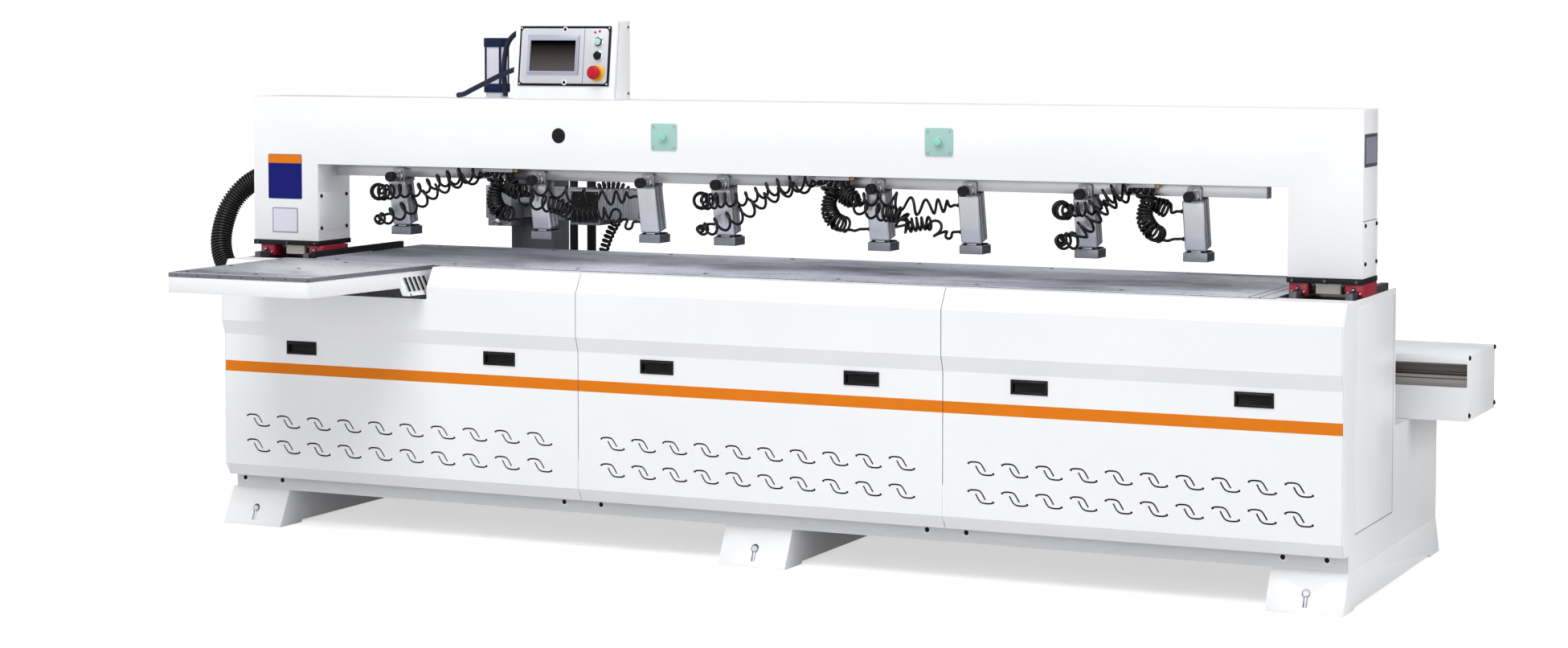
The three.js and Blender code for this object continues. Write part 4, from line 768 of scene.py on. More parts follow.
# Sheet metal and plates: CAD nodes with broken edges
softNodes = {  # nodes and the width of their edges, by finish
    "white": {"end_panel_left": 0.7, "end_panel_right": 0.7, "back_panel": 1.2, "foot_left": 1.5,
              "foot_middle": 1.5, "foot_right": 1.5, "beam_housing": 1.5, "extension_tray": 0.6,
              "x_axis_cover": 1.0},
    "black": {"base_plate_left": 1.0, "base_plate_right": 1.0}, "bed": {"x_axis_rail": 0.8},
    "darkSteel": {"guide_rails_left": 0.8, "guide_rails_right": 0.8},
    "extrusion": {"clamp_rail": 0.6}, "castDark": {"drill_carriage": 1.5},
}
slotOf = {row["node"]: row["material_slot"] for row in frame["record"]["subparts"]}
plateNames = ("table", "wornSteel", "edgeSteel")


def skinNodes():
    for finish, widths in softNodes.items():
        for node, width in widths.items():
            skin = coated(softCopy(node, width * mm), finish)
            onBody(skin, nodes[node]["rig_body"], slotOf[node], node)
    coated(nodes["base_frame"], "frameGrey")
    skin = coatedByFace(softCopy("extension_table"), ("paleTable", *plateNames[1:]), platesFinish)
    onBody(skin, "cabinet", "table_plate", "extension_table")


skinNodes()
print("sheet metal finished")


# Front panels: an orange band, cut vents, and a black cup in each handle opening
panelSettings = {
    "band": (463, 495), "soft": 0.5,
    "ventRows": ((303, 335), (227, 260)), "ventHalf": 2.3, "dot": 3.7, "ventDeep": 9, "vents": 10,
    "ventSpans": {"left": (79, 1045, 80), "middle": (1284, 2170, 75), "right": (2399, 3268, 74)},
    "hooks": (([(0.02, 0.9), (0.08, 0.99), (0.4, 1.0), (0.5, 0.88), (0.68, 0.26)], 0),
              ([(0.3, 0.72), (0.46, 0.14), (0.58, 0.0), (0.92, 0.01), (0.98, 0.1)], -1)),
    "handles": (276.5, 953.3, 1463.2, 2088.4, 2572.7, 3185.2), "handleLevel": 543,
    "feet": {"left": 87.5, "middle": 1752.7, "right": 3317.5},
    "sillBolts": (32, 166, 1134, 1254, 2259, 2373, 3248, 3364),
}
handleShape = {  # outside and hollow: half width, half height, front, back, edge
    "cup": ((47.6, 17.6, 0.4, 14.4, 1.5), (45.5, 15.5, -5, 12, 1.2)),
    "rim": ((52.5, 19.8, -2.6, -0.1, 1.2), (46, 15.8, -9, 5, 0)),
    "rolls": ((0.5, 13, 5.2, 20, 0.8), (-0.2, -15.5, 3.2, 16, 0.6)), "rollHalf": 46.5,  # Y, Z, radius, sides, edge
}
screwHead = [(0, 3), (7, 3), (8.6, 1.5), (8.6, -4), (0, -4)]


def bandedPaint(low, high):
    mat, tree, shader = newMaterial("banded paint", panelWhite, 0.36)
    plain = ramp(tree, objectNoise(tree, 1.7, detail=3), [(0.3, (0.83, 0.835, 0.85)), (0.7, (0.87, 0.875, 0.885))])
    place = placeParts(tree)
    inBand = 1
    for axis, operation, limit in (("Z", "GREATER_THAN", low * mm), ("Z", "LESS_THAN", high * mm),
                                   ("Y", "LESS_THAN", at(0, 1, 0).y)):
        test = wired(tree, "Math", {0: place[axis], 1: limit}, operation=operation)[0]
        inBand = wired(tree, "Math", {0: test, 1: inBand}, operation="MULTIPLY")[0]
    feed(tree, shader, {"Specular IOR Level": ramp(tree, inBand, [(0.0, 0.5), (1.0, 0.1)]),
                        "Base Color": mixed(tree, plain, (*bandOrange, 1), inBand, "MIX"),
                        "Normal": bump(tree, objectNoise(tree, 950, detail=2), 0.06, 0.3 * mm)})
    return mat


def strokeOutline(points, half, dot, dotEnd):  # a rounded stroke with a thicker dot at one end
    line = smoothRoute([(x, 0, z) for x, z in points], 14)
    if dotEnd == 0:
        line.reverse()
    ways = headings(line)
    sides = [Vector((-way.z, 0, way.x)) for way in ways]
    left = [p + side * half for p, side in zip(line[:-1], sides)]
    right = [p - side * half for p, side in zip(line[:-1], sides)]
    cap = [line[-1] + ways[-1] * math.cos(a) * dot + sides[-1] * math.sin(a) * dot
           for a in (math.radians(150 - 50 * k) for k in range(7))]
    return left + cap + right[::-1]


def cornered(obj):  # all faces as triangles, flat for a cut
    return edited(obj, (bpy.ops.mesh.quads_convert_to_tris, {"quad_method": "BEAUTY", "ngon_method": "BEAUTY"}))


def makeVents(side, s):
    first, last, width = s["ventSpans"][side]
    outlines = []
    for k in range(s["vents"]):
        x = first + (last - first) * k / (s["vents"] - 1)
        for low, high in s["ventRows"]:
            for points, dotEnd in s["hooks"]:
                spots = [(x + a * width, low + b * (high - low)) for a, b in points]
                outline = strokeOutline(spots, s["ventHalf"], s["dot"], dotEnd)
                outlines.append([(p.x, -s["ventDeep"] / 2, p.z) for p in outline])
    return pushed(outlines, (0, s["ventDeep"], 0))


def makeHandleCup(x, z, s):
    parts = []
    for shapes in (s["cup"], s["rim"]):
        solid, hollow = [block((x - a, y0, z - c), (x + a, y1, z + c), edge) for a, c, y0, y1, edge in shapes]
        parts.append(carved(solid, hollow))
    x0, x1 = x - s["rollHalf"], x + s["rollHalf"]
    parts += [rod((x0, y, z + up), (x1, y, z + up), *shape) for y, up, *shape in s["rolls"]]
    return coated(joined(parts, "handle"), "blackPlastic")


def makePanels(s):
    finishes["banded"] = bandedPaint(*s["band"])
    for side, (first, last, width) in s["ventSpans"].items():
        skin = coated(softCopy("front_panel_" + side, s["soft"] * mm), "banded")
        smoothed(carved(cornered(skin), cornered(makeVents(side, s))), 7)
        onBody(skin, "cabinet", "white_paint", "front_panel_" + side)
        # black sheets just behind the vent rows: painted shade of the cabinet's dark inside
        ventShadeSheets = [coated(block((first - 6, 3.4, low - 4), (last + width + 6, 4.6, high + 4), 0), "blackPlastic")
                  for low, high in s["ventRows"]]
        piece("vent_shade_sheets_" + side, ventShadeSheets, "cabinet", "dark_cast")
    x0 = s["handles"][0]
    first = makeHandleCup(x0, s["handleLevel"], handleShape)
    cups = [first] + [duplicated(first, sideways(x - x0)) for x in s["handles"][1:]]
    piece("handle_cups", cups, "cabinet", "black_plastic")
    for name, x in s["feet"].items():
        shank = rod((x, 16.5, 9), (x, 31, 42), 4.4, 16)
        head = turned(screwHead, (x, 28.5, 49), (0, -1, 0.42), 28)
        screw = coated(joined([shank, head], "levelling_screw_" + name), "silver")
        onBody(screw, nodes["foot_" + name]["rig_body"], "rail_steel")
    places = [(x, 57, 134) for x in s["sillBolts"]]
    bolts("sill_bolts", places, toFront, 7.5, "dome", "blackPlastic", "cabinet", "black_plastic")
    bolts("sill_washers", places, toFront, 10.5, "flat", "white", "cabinet", "white_paint")


makePanels(panelSettings)
print("panels cut")

# Tables: a plate with two grooves at its right end, and a side fence with a worn edge
tableSettings = {"low": (235, 70.3, 786), "high": (3215, 735, 800), "grooves": (3148, 3176), "grooveWidth": 3.5,
                 "fence": ((235.3, 112, 799.7), (251.3, 602, 820)),
                 "wornEdge": ((251.5, 118, 799.8), (257.3, 412, 802.2)),
                 "edgeScrews": (-472, 793), "edgeSpan": (178, 640, 74), "screwSpan": (330, 3200, 410),
                 "screwRows": (110, 690), "extensionScrews": ((185, 420), (-430, -220, 20))}
coverJoint = {"x": 3421, "y": (114, 498), "z": (197, 781), "width": 1.6, "deep": 1.4}


def makeTables(s):
    plate = block(s["low"], s["high"], 0.8)
    for x in s["grooves"]:
        carved(plate, block((x, 60, 796.5), (x + s["grooveWidth"], 745, 806), 0))
    coatedByFace(plate, plateNames, platesFinish)
    piece("table_plate_skin", [plate], "cabinet", "table_plate", "main_table")
    fence = [coated(block(*s["fence"], 1.2), "black"), coated(block(*s["wornEdge"], 0.4), "wornSteel")]
    piece("side_fence", fence, "cabinet", "table_plate", "main_table")
    screws = ("darkSteel", "cabinet", "table_plate")
    bolts("edge_screws", [(x, *s["edgeScrews"]) for x in range(*s["edgeSpan"])], toFront, 3.2, "flat", *screws)
    top = s["high"][2]
    places = [(x, y, top) for x in range(*s["screwSpan"]) for y in s["screwRows"]]
    columns, rows = s["extensionScrews"]
    places += [(x, y, top) for x in columns for y in rows]
    bolts("table_screws", places, toTop, 7, "flat", *screws)


def makeCoverLines(s):  # fine dark joints round the raised cover of the right end panel
    x, (y0, y1), (z0, z1), width = s["x"], s["y"], s["z"], s["width"]
    spans = (((y1, z0), (y1 + width, z1)), ((y0, z0 - width), (y1, z0)))
    lines = [coated(block((x, *low), (x + s["deep"], *high), 0), "slideGrey") for low, high in spans]
    piece("end_cover_lines", lines, "cabinet", "dark_cast")


makeTables(tableSettings)
makeCoverLines(coverJoint)
print("tables made")

# Gantry legs: screwed covers, blank plates, and what carries them
legSettings = {
    "covers": {"left": (217, (184, 346), (877, 991.8), (194.5, 329.5), (884.7, 982.3)),
               "right": (3417, (182, 325), (868, 993), (197, 311), (884, 983))}, "coverThick": 1.6,
    "bigPlate": (38, 159, 972, 1107), "bandShare": 0.2, "smallPlate": (52, 144, 869, 945),
    "namePlate": (190, 318, 1133, 1219), "front": 180,
    "carriages": {"left_outer": 30, "left_inner": 205, "right_inner": 3247, "right_outer": 3395},
    "nuts": {"left": 117.5, "right": 3321}, "baseBolts": (0, 105, 205, 3232, 3318, 3402),
    "seam": (993.2, 994.8), "nameplateFace": 3417,
}


def sidePlate(rect, x, thick, radius, steps, width=0.0):
    return pushed([[(x, y, z) for y, z in roundedRect(*rect, radius, steps)]], (thick, 0, 0), width)


def makeLegs(s):
    for side, (face, (y0, y1), (z0, z1), boltY, boltZ) in s["covers"].items():
        x1 = face + s["coverThick"]
        cover = coated(block((face, y0, z0), (x1, y1, z1), 0.5), "white")
        piece("leg_cover_" + side, [cover], "beam", "white_paint")
        places = [(x1, y, z) for y in boltY for z in boltZ]
        bolts("cover_bolts_" + side, places, toRight, 6, "dome", "blackPlastic", "beam", "black_plastic")
    z0, z1 = s["seam"]
    seam = coated(block((face - 0.6, 180.5, z0), (face + 0.3, 326.5, z1), 0), "castDark")
    piece("leg_seam", [seam], "beam", "white_paint")
    rect, y = s["bigPlate"], s["front"]
    tall = rect[3] - rect[2]
    band = inset(rect, 1.5, low=tall * (1 - s["bandShare"]))
    field = inset(rect, 1.5, high=tall * s["bandShare"] + 1.5)
    parts = [coated(frontPlate(rect, y, 1.2, 4), "navyPlate"),
             coated(frontPlate(band, y - 1.1, 0.35, 2, 0), "orange"),
             coated(frontPlate(field, y - 1.1, 0.35, 2, 0), "navyPlate")]
    piece("leg_plate", parts, "beam", "panel_silver")
    rect = s["smallPlate"]
    parts = [coated(frontPlate(rect, y, 1.0, 3), "slideGrey"),
             coated(frontPlate(inset(rect, 3.5), y - 0.8, 0.4, 1.5, 0), "palePlate")]
    piece("leg_small_plate", parts, "beam", "panel_silver")
    rect, x = s["namePlate"], s["nameplateFace"]
    parts = [coated(sidePlate(rect, x, 1.2, 4, 5, 0.4), "castDark"),
             coated(sidePlate(inset(rect, 9), x + 1, 0.5, 2, 4), "bezel")]
    piece("side_nameplate", parts, "beam", "panel_silver")


carriageSettings = {
    "ends": ((185, -1), (320, 1)), "sealThick": 2.5, "sealHalf": 22, "sealLevels": (803, 826),
    "notchHalf": (11, 8), "notchLevels": (790, 813), "portLevel": 818, "screwLevel": 809, "screwSpread": 16,
    "disc": [(0, 0.8), (5.5, 0.8), (5.5, 0), (0, 0)], "nippleFront": 182,
    "nipple": [(0, 13), (1.5, 13), (2.6, 11), (1.8, 9), (3.2, 7), (3.2, 0), (0, 0)],
    "cheeks": ((-52, -35), (35, 52)), "cheekDepth": (206, 298), "cheekLevels": (803, 821),
    "caps": (-39, 39), "capPlace": (202.5, 826),
}


def makeCarriage(name, x, s):
    parts = [coated(softCopy("carriage_" + name), "crimson")]
    (low, high), (z0, z1), half, (a, b) = s["sealLevels"], s["notchLevels"], s["sealHalf"], s["notchHalf"]
    for y, way in s["ends"]:
        end = y + way * s["sealThick"]
        seal = block((x - half, min(y, end), low), (x + half, max(y, end), high), 0.8)
        parts.append(coated(carved(seal, block((x - a, y - b, z0), (x + a, y + b, z1), 0)), "crimson"))
        parts.append(coated(turned(s["disc"], (x - 1, end, s["portLevel"]), (0, way, 0), 20), "blackPlastic"))
        parts += [boltHead("cap", 3, (x + dx, end, s["screwLevel"]), (0, way, 0), 14, "chrome")
                  for dx in (-s["screwSpread"], s["screwSpread"])]
    nipple = turned(s["nipple"], (x - 1, s["nippleFront"], s["portLevel"]), toFront, 12)
    piece("carriage_skin_" + name, [*parts, coated(nipple, "railSteel")], "beam", "red_paint", "carriage_" + name)


def makeNut(side, x, s):
    (y0, y1), (z0, z1) = s["cheekDepth"], s["cheekLevels"]
    parts = [coated(softCopy("screw_nut_" + side, 1.5 * mm), "cream")]
    parts += [coated(block((x + a, y0, z0), (x + b, y1, z1), 2), "blackPlastic") for a, b in s["cheeks"]]
    parts += [boltHead("cap", 4, (x + dx, *s["capPlace"]), toFront, 14, "darkSteel") for dx in s["caps"]]
    piece("screw_nut_skin_" + side, parts, "beam", "cream_cast", "screw_nut_" + side)


makeLegs(legSettings)
for name, x in legSettings["carriages"].items():
    makeCarriage(name, x, carriageSettings)
for side, x in legSettings["nuts"].items():
    makeNut(side, x, carriageSettings)
bolts("base_bolts", [(x, 178, 838) for x in legSettings["baseBolts"]], toFront, 4, "cap", "darkSteel", "beam",
      "black_paint")
print("legs made")

# Beam buttons on square plates, and a plug
beamButtonSettings = {
    "places": (1394, 2240.1), "level": 1180, "half": 41.5, "screws": 33, "front": 180, "plate": 3.3,
    "ring": [(12.6, -1), (12.6, 4.2), (13.4, 5), (15.2, 4.6), (16.4, 2), (16.4, -1), (12.6, -1)],
    "cap": [(0, 11.2), (6, 11), (10, 9.6), (11.6, 7.4), (12, 5), (12, 0.3), (8, 0), (8, -12), (0, -12)],
    "plug": [(0, 3), (16, 3), (20, 2.2), (22, 0.8), (22, 0), (0, 0)], "plugPlace": (1049, 180, 1178),
}


def makeBeamButtons(s):
    z, y = s["level"], s["front"] - s["plate"]
    for i, x in enumerate(s["places"]):
        tall = s["half"] - 3
        plate = frontPlate((x - s["half"], x + s["half"], z - tall, z + tall), s["front"], s["plate"], 5, 0.6)
        ring = turned(s["ring"], (x, y, z), toFront, 40)
        piece(f"button_plate_{i + 1}", [coated(plate, "plateTeal"), coated(ring, "silver")], "beam", "mint_plastic")
        places = [(x + a * s["screws"], y, z + b * (s["screws"] - 3)) for a in (-1, 1) for b in (-1, 1)]
        bolts(f"button_screws_{i + 1}", places, toFront, 3.2, "cap", "railSteel", "beam", "rail_steel")
        node = f"beam_button_{i + 1}"
        cap = coated(turned(s["cap"], (x, y - 3, z), toFront, 40), "mint")
        piece(f"beam_button_skin_{i + 1}", [cap], node, "mint_plastic", node)
    plug = coated(turned(s["plug"], s["plugPlace"], toFront, 40), "blackPlastic")
    piece("beam_plug", [plug], "beam", "black_plastic")


makeBeamButtons(beamButtonSettings)
print("beam buttons made")

# Clamps: a bracket on the rail with a locking knob, a tilted profile cylinder, its fittings and its foot
clampSettings = {
    **clampShape, "half": (30, 26), "cap": 4, "groove": (26.2, 8, 14), "corner": 3.5,
    "bracket": {"x": 20, "front": 236.7, "back": 294, "low": 1030.4, "top": 1072, "round": 9},
    "rail": {"front": 249.7, "back": 285.3, "low": 1043.4}, "knobZ": 1046,
    "foot": (34, 33, 870, 894), "rodRadius": 8, "footScrews": (27, 26),
    "railEnds": (3141, 236.5), "endCap": ((0, 249.3, 1043), (3.5, 285.7, 1079.2)),
    "barrel": [(0, -6), (14, -6), (14, 3), (12.6, 4.5), (11, 5), (11, 17), (10.4, 17.6), (10.4, 19), (11, 19.6),
               (11, 33.5), (0, 33.5)],
    "knobFace": [(0, 0.2), (9, 0.2), (10.5, 0.9), (11.5, 0), (0, 0)],
    "nut": [(0, 5), (6.6, 5), (7.2, 4), (7.2, -4), (0, -4)],
    "elbow": [(0, 12), (5, 12), (6, 11), (6, 4.5), (0, 4.5)],
    "stud": [(0, 0.6), (2.2, 0.5), (2.7, 0), (0, 0)],
}


def tiltedAt(s):
    tilt = Matrix.Rotation(math.radians(s["tilt"]), 4, "X")
    return Matrix.Translation(at(0, s["topY"], s["topZ"])) @ tilt @ Matrix.Translation(-at(0, 0, 0))


def arc(cx, cz, radius, start, step, count):
    angles = [math.radians(start + step * n) for n in range(count)]
    return [(cx + radius * math.cos(angle), cz + radius * math.sin(angle)) for angle in angles]


def makeCylinder(s):  # a clamp's cylinder at X = 0, tilted into its place
    a, b = s["half"]
    depth, g0, g1 = s["groove"]
    c, long = s["corner"], s["long"]
    side = [(a, -b + c), (a, -g1), (depth, -g1), (depth, -g0), (a, -g0), (a, g0), (depth, g0), (depth, g1), (a, g1),
            (a, b - c), (a - c, b)]
    outline = side + [(-x, y) for x, y in reversed(side)] + [(-a + c, -b), (a - c, -b)]
    profile = pushed([[(x, y, -s["cap"]) for x, y in outline]], (0, 0, -long + 2 * s["cap"]), 0.7)
    parts = [coated(profile, "alloy")]
    for z0, z1 in ((-s["cap"], 0), (-long, -long + s["cap"])):
        parts.append(coated(block((-a + 1, -b + 1, z0), (a - 1, b - 1, z1), 1.2), "castAlloy"))
    middles = (-(g0 + g1) / 2, (g0 + g1) / 2)
    for x in (-depth - 0.2, depth + 0.2):
        parts += [coated(block((x - 0.6, y - 2.6, -long + 6), (x + 0.6, y + 2.6, -6), 0), "darkSteel")
                  for y in middles]
        for y in middles:
            stud = turned(s["stud"], (x, y, -long + 11), (x, 0, 0), 16)
            stud.data.transform(sideways(math.copysign(3, x)))
            parts.append(coated(stud, "chrome"))
    for share in s["portShares"]:
        spot = (-a, 0, -long * share)
        parts += [coated(turned(s["nut"], spot, (-1, 0, 0), 6), "railSteel"),
                  coated(turned(s["elbow"], spot, (-1, 0, 0), 18), "blackPlastic")]
    body = joined(parts, "clamp_body")
    body.data.transform(tiltedAt(s))
    return body


def makeClampBody(s):
    body = makeCylinder(s)
    k, r, z = s["bracket"], s["rail"], s["knobZ"]
    x, turn = k["x"], k["round"]
    tall = [(-x, k["low"]), (x, k["low"]), *arc(x - turn, k["top"] - turn, turn, 0, 15, 7),
            *arc(-x + turn, k["top"] - turn, turn, 90, 15, 7)]
    bracket = pushed([[(x, k["front"], z) for x, z in tall]], (0, k["back"] - k["front"], 0), 1.2, 3)
    carved(bracket, block((-40, r["front"], r["low"]), (40, r["back"], 1090), 0))
    hook = block((-x, r["back"] - 3.7, 1057.4), (x, r["back"] + 4, 1065), 0.3)
    barrel = turned(s["barrel"], (0, k["front"], z), toFront)
    grip = [arc(0, 0, 14.9 if n % 3 else 13.7, 5 * n, 0, 1)[0] for n in range(72)]
    knob = pushed([[(x, k["front"] - 33, z + dz) for x, dz in grip]], (0, -21.5, 0), 0.5, 1)
    face = turned(s["knobFace"], (0, k["front"] - 54.5, z), toFront)
    stop = boltHead("cap", 4, (12, k["front"], k["low"] + 7), toFront, 14, "darkSteel")
    return joined([body, coated(joined([bracket, hook], "bracket"), "castAlloy"), coated(barrel, "railSteel"),
                   coated(knob, "blackPlastic"), coated(face, "blackPlastic"), stop], "clamp")


def makeClampFoot(s):  # at X = 0
    a, b, low, high = s["foot"]
    tilt = math.radians(s["tilt"])
    reach = (s["topZ"] - (low + high) / 2) / math.cos(tilt)
    y, thick = s["topY"] + reach * math.sin(tilt), s["rodRadius"]
    # the foot's side faces, those facing along X, take the dark casting finish as painted shade
    foot = coatedByFace(block((-a, y - b, low), (a, y + b, high), 1.5, 3), ("footAlloy", "castDark"),
                        lambda normal: int(abs(normal.x) > 0.9))
    pad = coated(block((-26.5, y - 25, high - 0.3), (26.5, y + 25, high + 5), 0.8), "blackPlastic")
    tag = coated(block((-13.5, y - 25.6, high + 1), (13.5, y - 24, high + 4.2), 0.3), "alloy")
    bar = turned([(0, -30), (thick - 1, -30), (thick, -29), (thick, reach - 4), (0, reach - 4)],
                 (0, 0, 0), (0, 0, -1), 28)
    coated(bar, "chrome").data.transform(tiltedAt(s))
    dx, dy = s["footScrews"]
    screws = [boltHead("cap", 3.5, (x, y + side * dy, high), toTop, 12, "darkSteel") for x in (-dx, dx)
              for side in (-1, 1)]
    return joined([foot, pad, tag, bar, *screws], "clamp_foot")


def makeClamps(s):
    originals = {"clamp": makeClampBody(s), "clamp_foot": makeClampFoot(s)}
    for i, x in enumerate(clampPlaces):
        for name, original in originals.items():
            node = f"{name}_{i + 1}"
            copy = duplicated(original, sideways(x))
            copy.name = node + "_skin"
            onBody(copy, node, "clamp_alloy", node)
    for original in originals.values():
        bpy.data.objects.remove(original, do_unlink=True)
    low, high = (Vector(point) for point in s["endCap"])
    ends = [coated(block(low + Vector((x, 0, 0)), high + Vector((x, 0, 0)), 0.8), "slideGrey")
            for x in s["railEnds"]]
    piece("rail_end_caps", ends, "beam", "black_plastic")


makeClamps(clampSettings)
print("clamps made")

# Drilling unit: softened castings with their screws, covers and air hose
unitSettings = {
    "spindle": [(0, 55), (1.2, 53), (3.6, 47), (4, 46), (4, 22), (7, 21), (9.5, 19), (11, 15), (11, -29), (0, -29)],
    "posts": ((684, 704, 1120), (746, 769, 1150)), "caps": ((1282.3, 1310.8), (1427.5, 1456)), "front": 797.5,
    "covers": (((445, 518), (870, 978), "slideGrey"), ((742, 838), (881, 978), "blackPlastic")),
    "screws": (((451, 512), (902, 971)), ((748, 832), (888, 971))), "spindlePlace": (481.5, 800, 876),
    "tube": ((393, 866.5, 1262.3), (448, 918.5, 1430)), "ties": ((394.5, 446.5), (868, 917), (1308, 1430)),
}
unitHose = {"route": [(772, 850, 962), (806, 846, 984), (862, 848, 996), (916, 852, 976), (908, 858, 930),
                      (872, 864, 888), (842, 870, 845), (816, 878, 792), (796, 888, 730), (772, 900, 664),
                      (770, 900, 641)],
            "radius": 5, "curl": 12, "curls": 34, "sides": 8, "steps": 500, "rings": 420}


def makeUnit(s):
    onBody(coated(softCopy("head_slide", 1.2 * mm), "slideGrey"), "head_slide", "clamp_alloy", "head_slide")
    y = s["front"]
    parts = [coated(softCopy("spindle_head", 1.5 * mm), "castAlloy")]
    parts += [coated(block((x0, y, z0), (x1, 801, z1), 1.5), finish) for (x0, x1), (z0, z1), finish in s["covers"]]
    piece("spindle_head_skin", parts, "spindle_head", "clamp_alloy", "spindle_head")
    places = [(x, y, z) for xs, zs in s["screws"] for x in xs for z in zs]
    bolts("head_screws", places, toFront, 3.6, "cap", "darkSteel", "spindle_head", "dark_cast")
    spindle = coated(turned(s["spindle"], s["spindlePlace"], toFront), "railSteel")
    piece("drill_spindle_skin", [spindle], "drill_spindle", "rail_steel", "drill_spindle")
    bars = [coated(block((x0, 893, 641), (x1, 913, top), 1.5), "black") for x0, x1, top in s["posts"]]
    piece("cable_posts", bars, "drill_carriage", "dark_cast")
    parts = [coated(block((389, 862.5, z0), (452, 922.5, z1), 2.5, 3), "navy") for z0, z1 in s["caps"]]
    parts.append(coated(block(*s["tube"], 4, 3), "palePlate"))
    xs, ys, (z0, z1) = s["ties"]
    # the tie rods take the dark navy finish as painted shade
    parts += [coated(rod((x, y, z0), (x, y, z1), 4.2, 12, 0), "navy") for x in xs for y in ys]
    piece("head_cylinder_skin", parts, "drill_carriage", "navy_alloy", "head_cylinder")


def makeUnitHose(s):
    def shape(share):
        return s["curl"] * min(1, share / 0.12) * min(1, (1 - share) / 0.2), 2 * math.pi * s["curls"] * share

    points = curled(smoothRoute(s["route"], s["steps"]), shape)
    path = [at(*p) for p in evenly(points, s["rings"])]
    hose = makeCord("unit_hose", path, s, ["hose"])
    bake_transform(hose)
    socket = turned([(0, 14), (5, 14), (6.5, 12), (6.5, 0), (0, 0)], (760, 850, 962), toRight, 18)
    piece("unit_hose_socket", [coated(socket, "blackPlastic")], "head_slide", "black_plastic")


makeUnit(unitSettings)
makeUnitHose(unitHose)
print("drilling unit made")

# Hood: black sheets in its slots, painted shade
hoodSettings = {"foot": (703, -72, 723), "out": (0.881, -0.115, 0.459), "along": (0.13, 0.9915, 0), "slots": 5,
                "first": 0.4, "pitch": 20.4, "half": 3.7, "low": 9.7, "high": 53.5, "deep": 1.5, "proud": 0.15}


def makeHoodSlots(s):
    foot, out, along = Vector(s["foot"]), Vector(s["out"]), Vector(s["along"])
    tray = bpy.data.objects["extension_tray_skin"].data
    surface = max(face.center.dot(out) for face in tray.polygons if face.normal.dot(out) > 0.99)
    foot += out * (surface - at(*foot).dot(out)) / mm
    down = along.cross(out)
    outlines = []
    for i in range(s["slots"]):
        middle = foot + along * (s["first"] + s["pitch"] * i) - out * s["deep"]
        outlines.append([middle + along * a * s["half"] - down * b for a, b in
                         ((-1, s["low"]), (1, s["low"]), (1, s["high"]), (-1, s["high"]))])
    # black sheets filling the slots to the tray's face: painted shade inside the openings
    slotShadeSheets = coated(pushed(outlines, out * (s["deep"] + s["proud"])), "blackPlastic")
    piece("hood_slot_shade_sheets", [slotShadeSheets], "cabinet", "black_plastic")


makeHoodSlots(hoodSettings)

# Bed: bolts on its end plate, and the screws of the tray
bolts("bed_bolts", [(3580, y, z) for y in (703, 1022) for z in (440, 597)], toRight, 7, "dome", "blackPlastic",
      "cabinet", "black_plastic")
bolts("tray_screws", [(703, -72, 723), (710, -8, 725)], (0.88, -0.115, 0.459), 3, "dome", "darkSteel", "cabinet",
      "black_plastic")

# Control box: a folded box with a leaning face, its panel, screen and buttons
boxSettings = {
    "x": (895, 1229), "front": 180, "back": 285, "low": 1282.3, "top": 1510, "tilt": 6.8,
    "backing": (912, 1213, 39.9, 214.1), "plate": (919, 1206.5, 47, 207), "divider": 1128, "corner": 11,
    "screen": (942, 1112, 72.05, 188.1), "button": 1175, "start": 168, "reset": 127.9, "stop": 77.1,
    "lamps": ((1162, 196), (1177, 199)), "clips": ((1063, 204), (1068, 50)), "screws": ((272, 1300), (272, 1492)),
    "steps": ((0, -9.4, -5.6, 1.2), (5, -11.3, -9.2, 0.8)), "opening": (11, 9, 10, 16),  # left, right, low, high
}
boxProfiles = {
    "clip": [(4.6, 0.4), (5, 1.2), (7, 1), (8, 0), (4.6, 0)], "hole": [(0, 0.9), (4.7, 0.9), (4.7, 0), (0, 0)],
    "lamp": [(0, 3.6), (2.2, 3), (3.2, 1.4), (3.4, 0), (0, 0)],
    "ring": [(12.6, 0), (12.6, 3.4), (13.4, 4), (15.2, 3.4), (16.5, 1), (16.5, 0), (12.6, 0)],
    "collar": [(11.8, 0), (11.8, 3.2), (16, 4.5), (21, 4.2), (24, 2), (24, 0), (11.8, 0)],
    "start": [(0, 4.4), (11.2, 4.4), (12, 3.6), (12, 0), (8, 0), (8, -22), (0, -22)],
    "dome": [(0, 8.8), (6, 8.8), (9, 8), (10.2, 6.4), (10.4, 4.2), (0, 4.2)],
    "reset": [(0, 7.4), (5, 8.4), (8.5, 8.8), (11, 7), (12, 4), (12, 0), (8, 0), (8, -22), (0, -22)],
    "stop": [(0, 25.2), (10, 24.6), (16, 22.8), (19.2, 19.6), (20, 16), (19, 13), (13, 11.5), (11, 9), (11, 3.5),
             (8, 3), (8, -16), (0, -16)],
}


def onFace(name, parts, s, body, slot, *replaced):  # moves parts from an upright face at 0 onto the leaning one
    lean = Matrix.Rotation(-math.radians(s["tilt"]), 4, "X")
    obj = joined(parts, name)
    obj.data.transform(Matrix.Translation(at(0, s["front"], s["low"])) @ lean @ Matrix.Translation(-at(0, 0, 0)))
    onBody(obj, body, slot, *replaced)


def dial(profile, x, y, z, sides, finish):
    return coated(turned(boxProfiles[profile], (x, y, z), toFront, sides), finish)


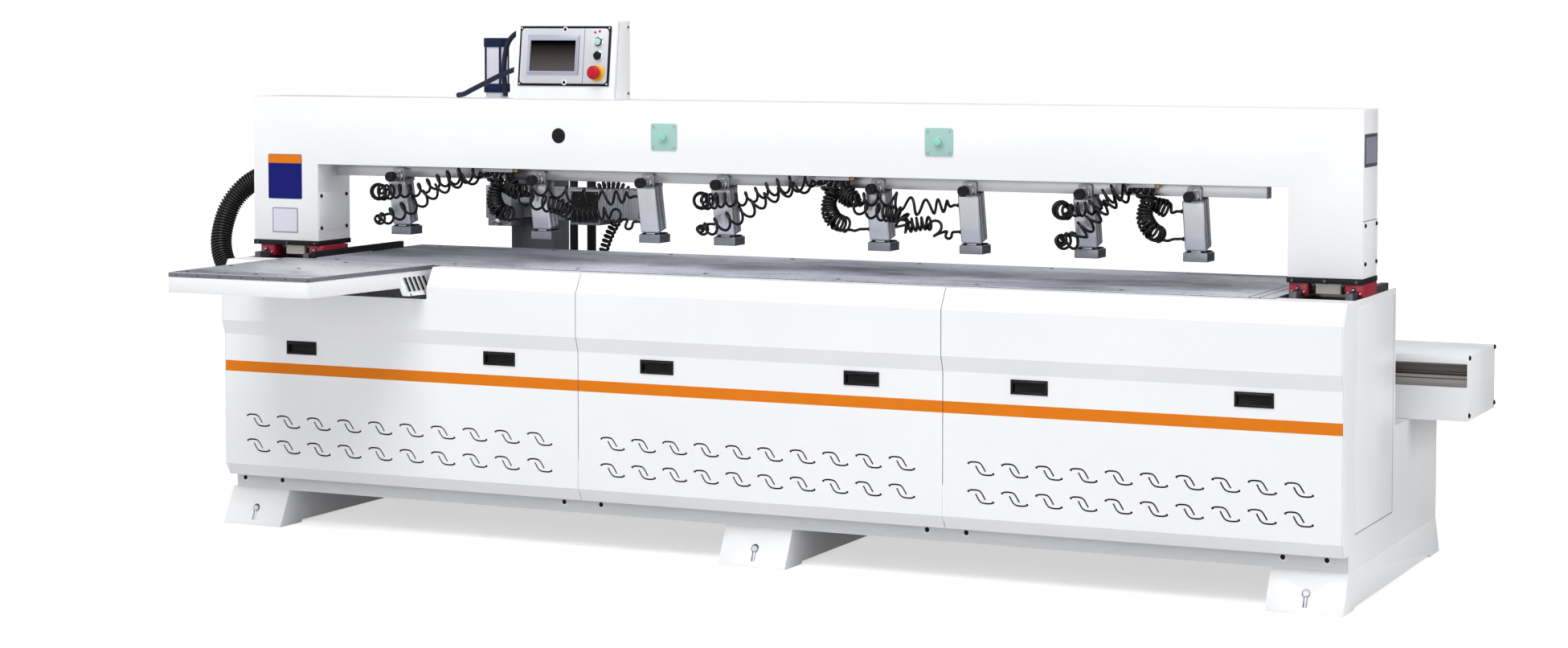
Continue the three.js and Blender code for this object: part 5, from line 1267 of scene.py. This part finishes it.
def makeBoxShell(s):
    low, top, y = s["low"], s["top"], s["front"]
    lean = math.tan(math.radians(s["tilt"])) * (top - low)
    x0, x1 = s["x"]
    side = [(y, low), (s["back"], low), (s["back"], top), (y + lean, top)]
    line = [(y + 12, low + 4), (y + 13.2, low + 4), (y + 13.2 + lean, top - 4), (y + 12 + lean, top - 4)]
    parts = [coated(pushed([[(x0, y, z) for y, z in side]], (x1 - x0, 0, 0), 2.5, 3), "white"),
             coated(pushed([[(x1 - 0.2, y, z) for y, z in line]], (0.35, 0, 0)), "castDark")]
    piece("box_shell", parts, "beam", "white_paint", "control_box")
    bolts("box_screws", [(x1, y, z) for y, z in s["screws"]], toRight, 4, "dome", "blackPlastic", "beam",
          "black_plastic")


def makeBoxPanel(s):
    x0, x1, z0, z1 = inset(s["backing"], 6)
    c, d = s["plate"][2:]
    left, right = s["divider"] - 1.2, s["divider"] + 1.2
    back = coated(frontPlate(s["backing"], -0.3, 3, 3, 0.5), "blackPlastic")
    plate = frontPlate(s["plate"], -3, 2.6, s["corner"], 0.5)
    carved(plate, block((left, -9, c - 5), (right, -4.6, d + 5), 0))
    line = coated(block((left, -4.8, c + 1), (right, -4.5, d - 1), 0), "slideGrey")
    parts = [back, coated(plate, "silver"), line]
    parts += [boltHead("cap", 2.2, (x, -3.2, z), toFront, 16, "cream") for x in (x0, x1) for z in (z0, z1)]
    for x, z in s["clips"]:
        parts += [dial("clip", x, -5.5, z, 24, "white"), dial("hole", x, -5.5, z, 20, "blackPlastic")]
    parts += [dial("lamp", x, -5.5, z, 24, "red") for x, z in s["lamps"]]
    parts += [dial("ring", s["button"], -5.4, z, 40, "chrome") for z in (s["start"], s["reset"])]
    parts.append(dial("collar", s["button"], -5.4, s["stop"], 48, "yellow"))
    onFace("box_panel", parts, s, "beam", "panel_silver", "control_panel")


def makeBoxScreen(s):
    opening = inset(s["screen"], *s["opening"])
    rims = []
    for edge, front, back, width in s["steps"]:
        x0, x1, z0, z1 = inset(s["screen"], edge)
        rim = block((x0, front, z0), (x1, back, z1), width)
        carved(rim, pushed([[(x, -12, z) for x, z in roundedRect(*opening, 2, 4)]], (0, 4.4, 0)))
        rims.append(coatedByFace(rim, ("bezel", "slideGrey"), lambda normal: int(abs(normal.y) < 0.9)))
    x0, x1, z0, z1 = inset(opening, -0.1)
    shade = block((x0, -9.6, z0), (x1, -8.3, z1), 0)
    a, b, c, d = inset(opening, 1.6)
    carved(shade, block((a, -20, c), (b, 0, d), 0))
    x0, x1, z0, z1 = inset(opening, -0.4)
    glass = coated(block((x0, -8.4, z0), (x1, -7.2, z1), 0), "glass")
    onFace("box_screen", [*rims, coated(shade, "castDark"), glass], s, "beam", "screen_plastic", "touch_screen")


def makeBoxButtons(s):
    x, z = s["button"], s["start"]
    start = [dial("start", x, -8.6, z, 44, "blackPlastic"), dial("dome", x, -8.6, z, 44, "paleMint")]
    onFace("start_button_skin", start, s, "start_button", "mint_plastic", "start_button")
    reset = [dial("reset", x, -8.6, s["reset"], 44, "blackPlastic")]
    onFace("reset_button_skin", reset, s, "reset_button", "black_plastic", "reset_button")
    stop = [dial("stop", x, -12.6, s["stop"], 56, "red")]
    onFace("stop_skin", stop, s, "emergency_stop", "red_plastic", "emergency_stop")


makeBoxShell(boxSettings)
makeBoxPanel(boxSettings)
makeBoxScreen(boxSettings)
makeBoxButtons(boxSettings)
print("control box made")
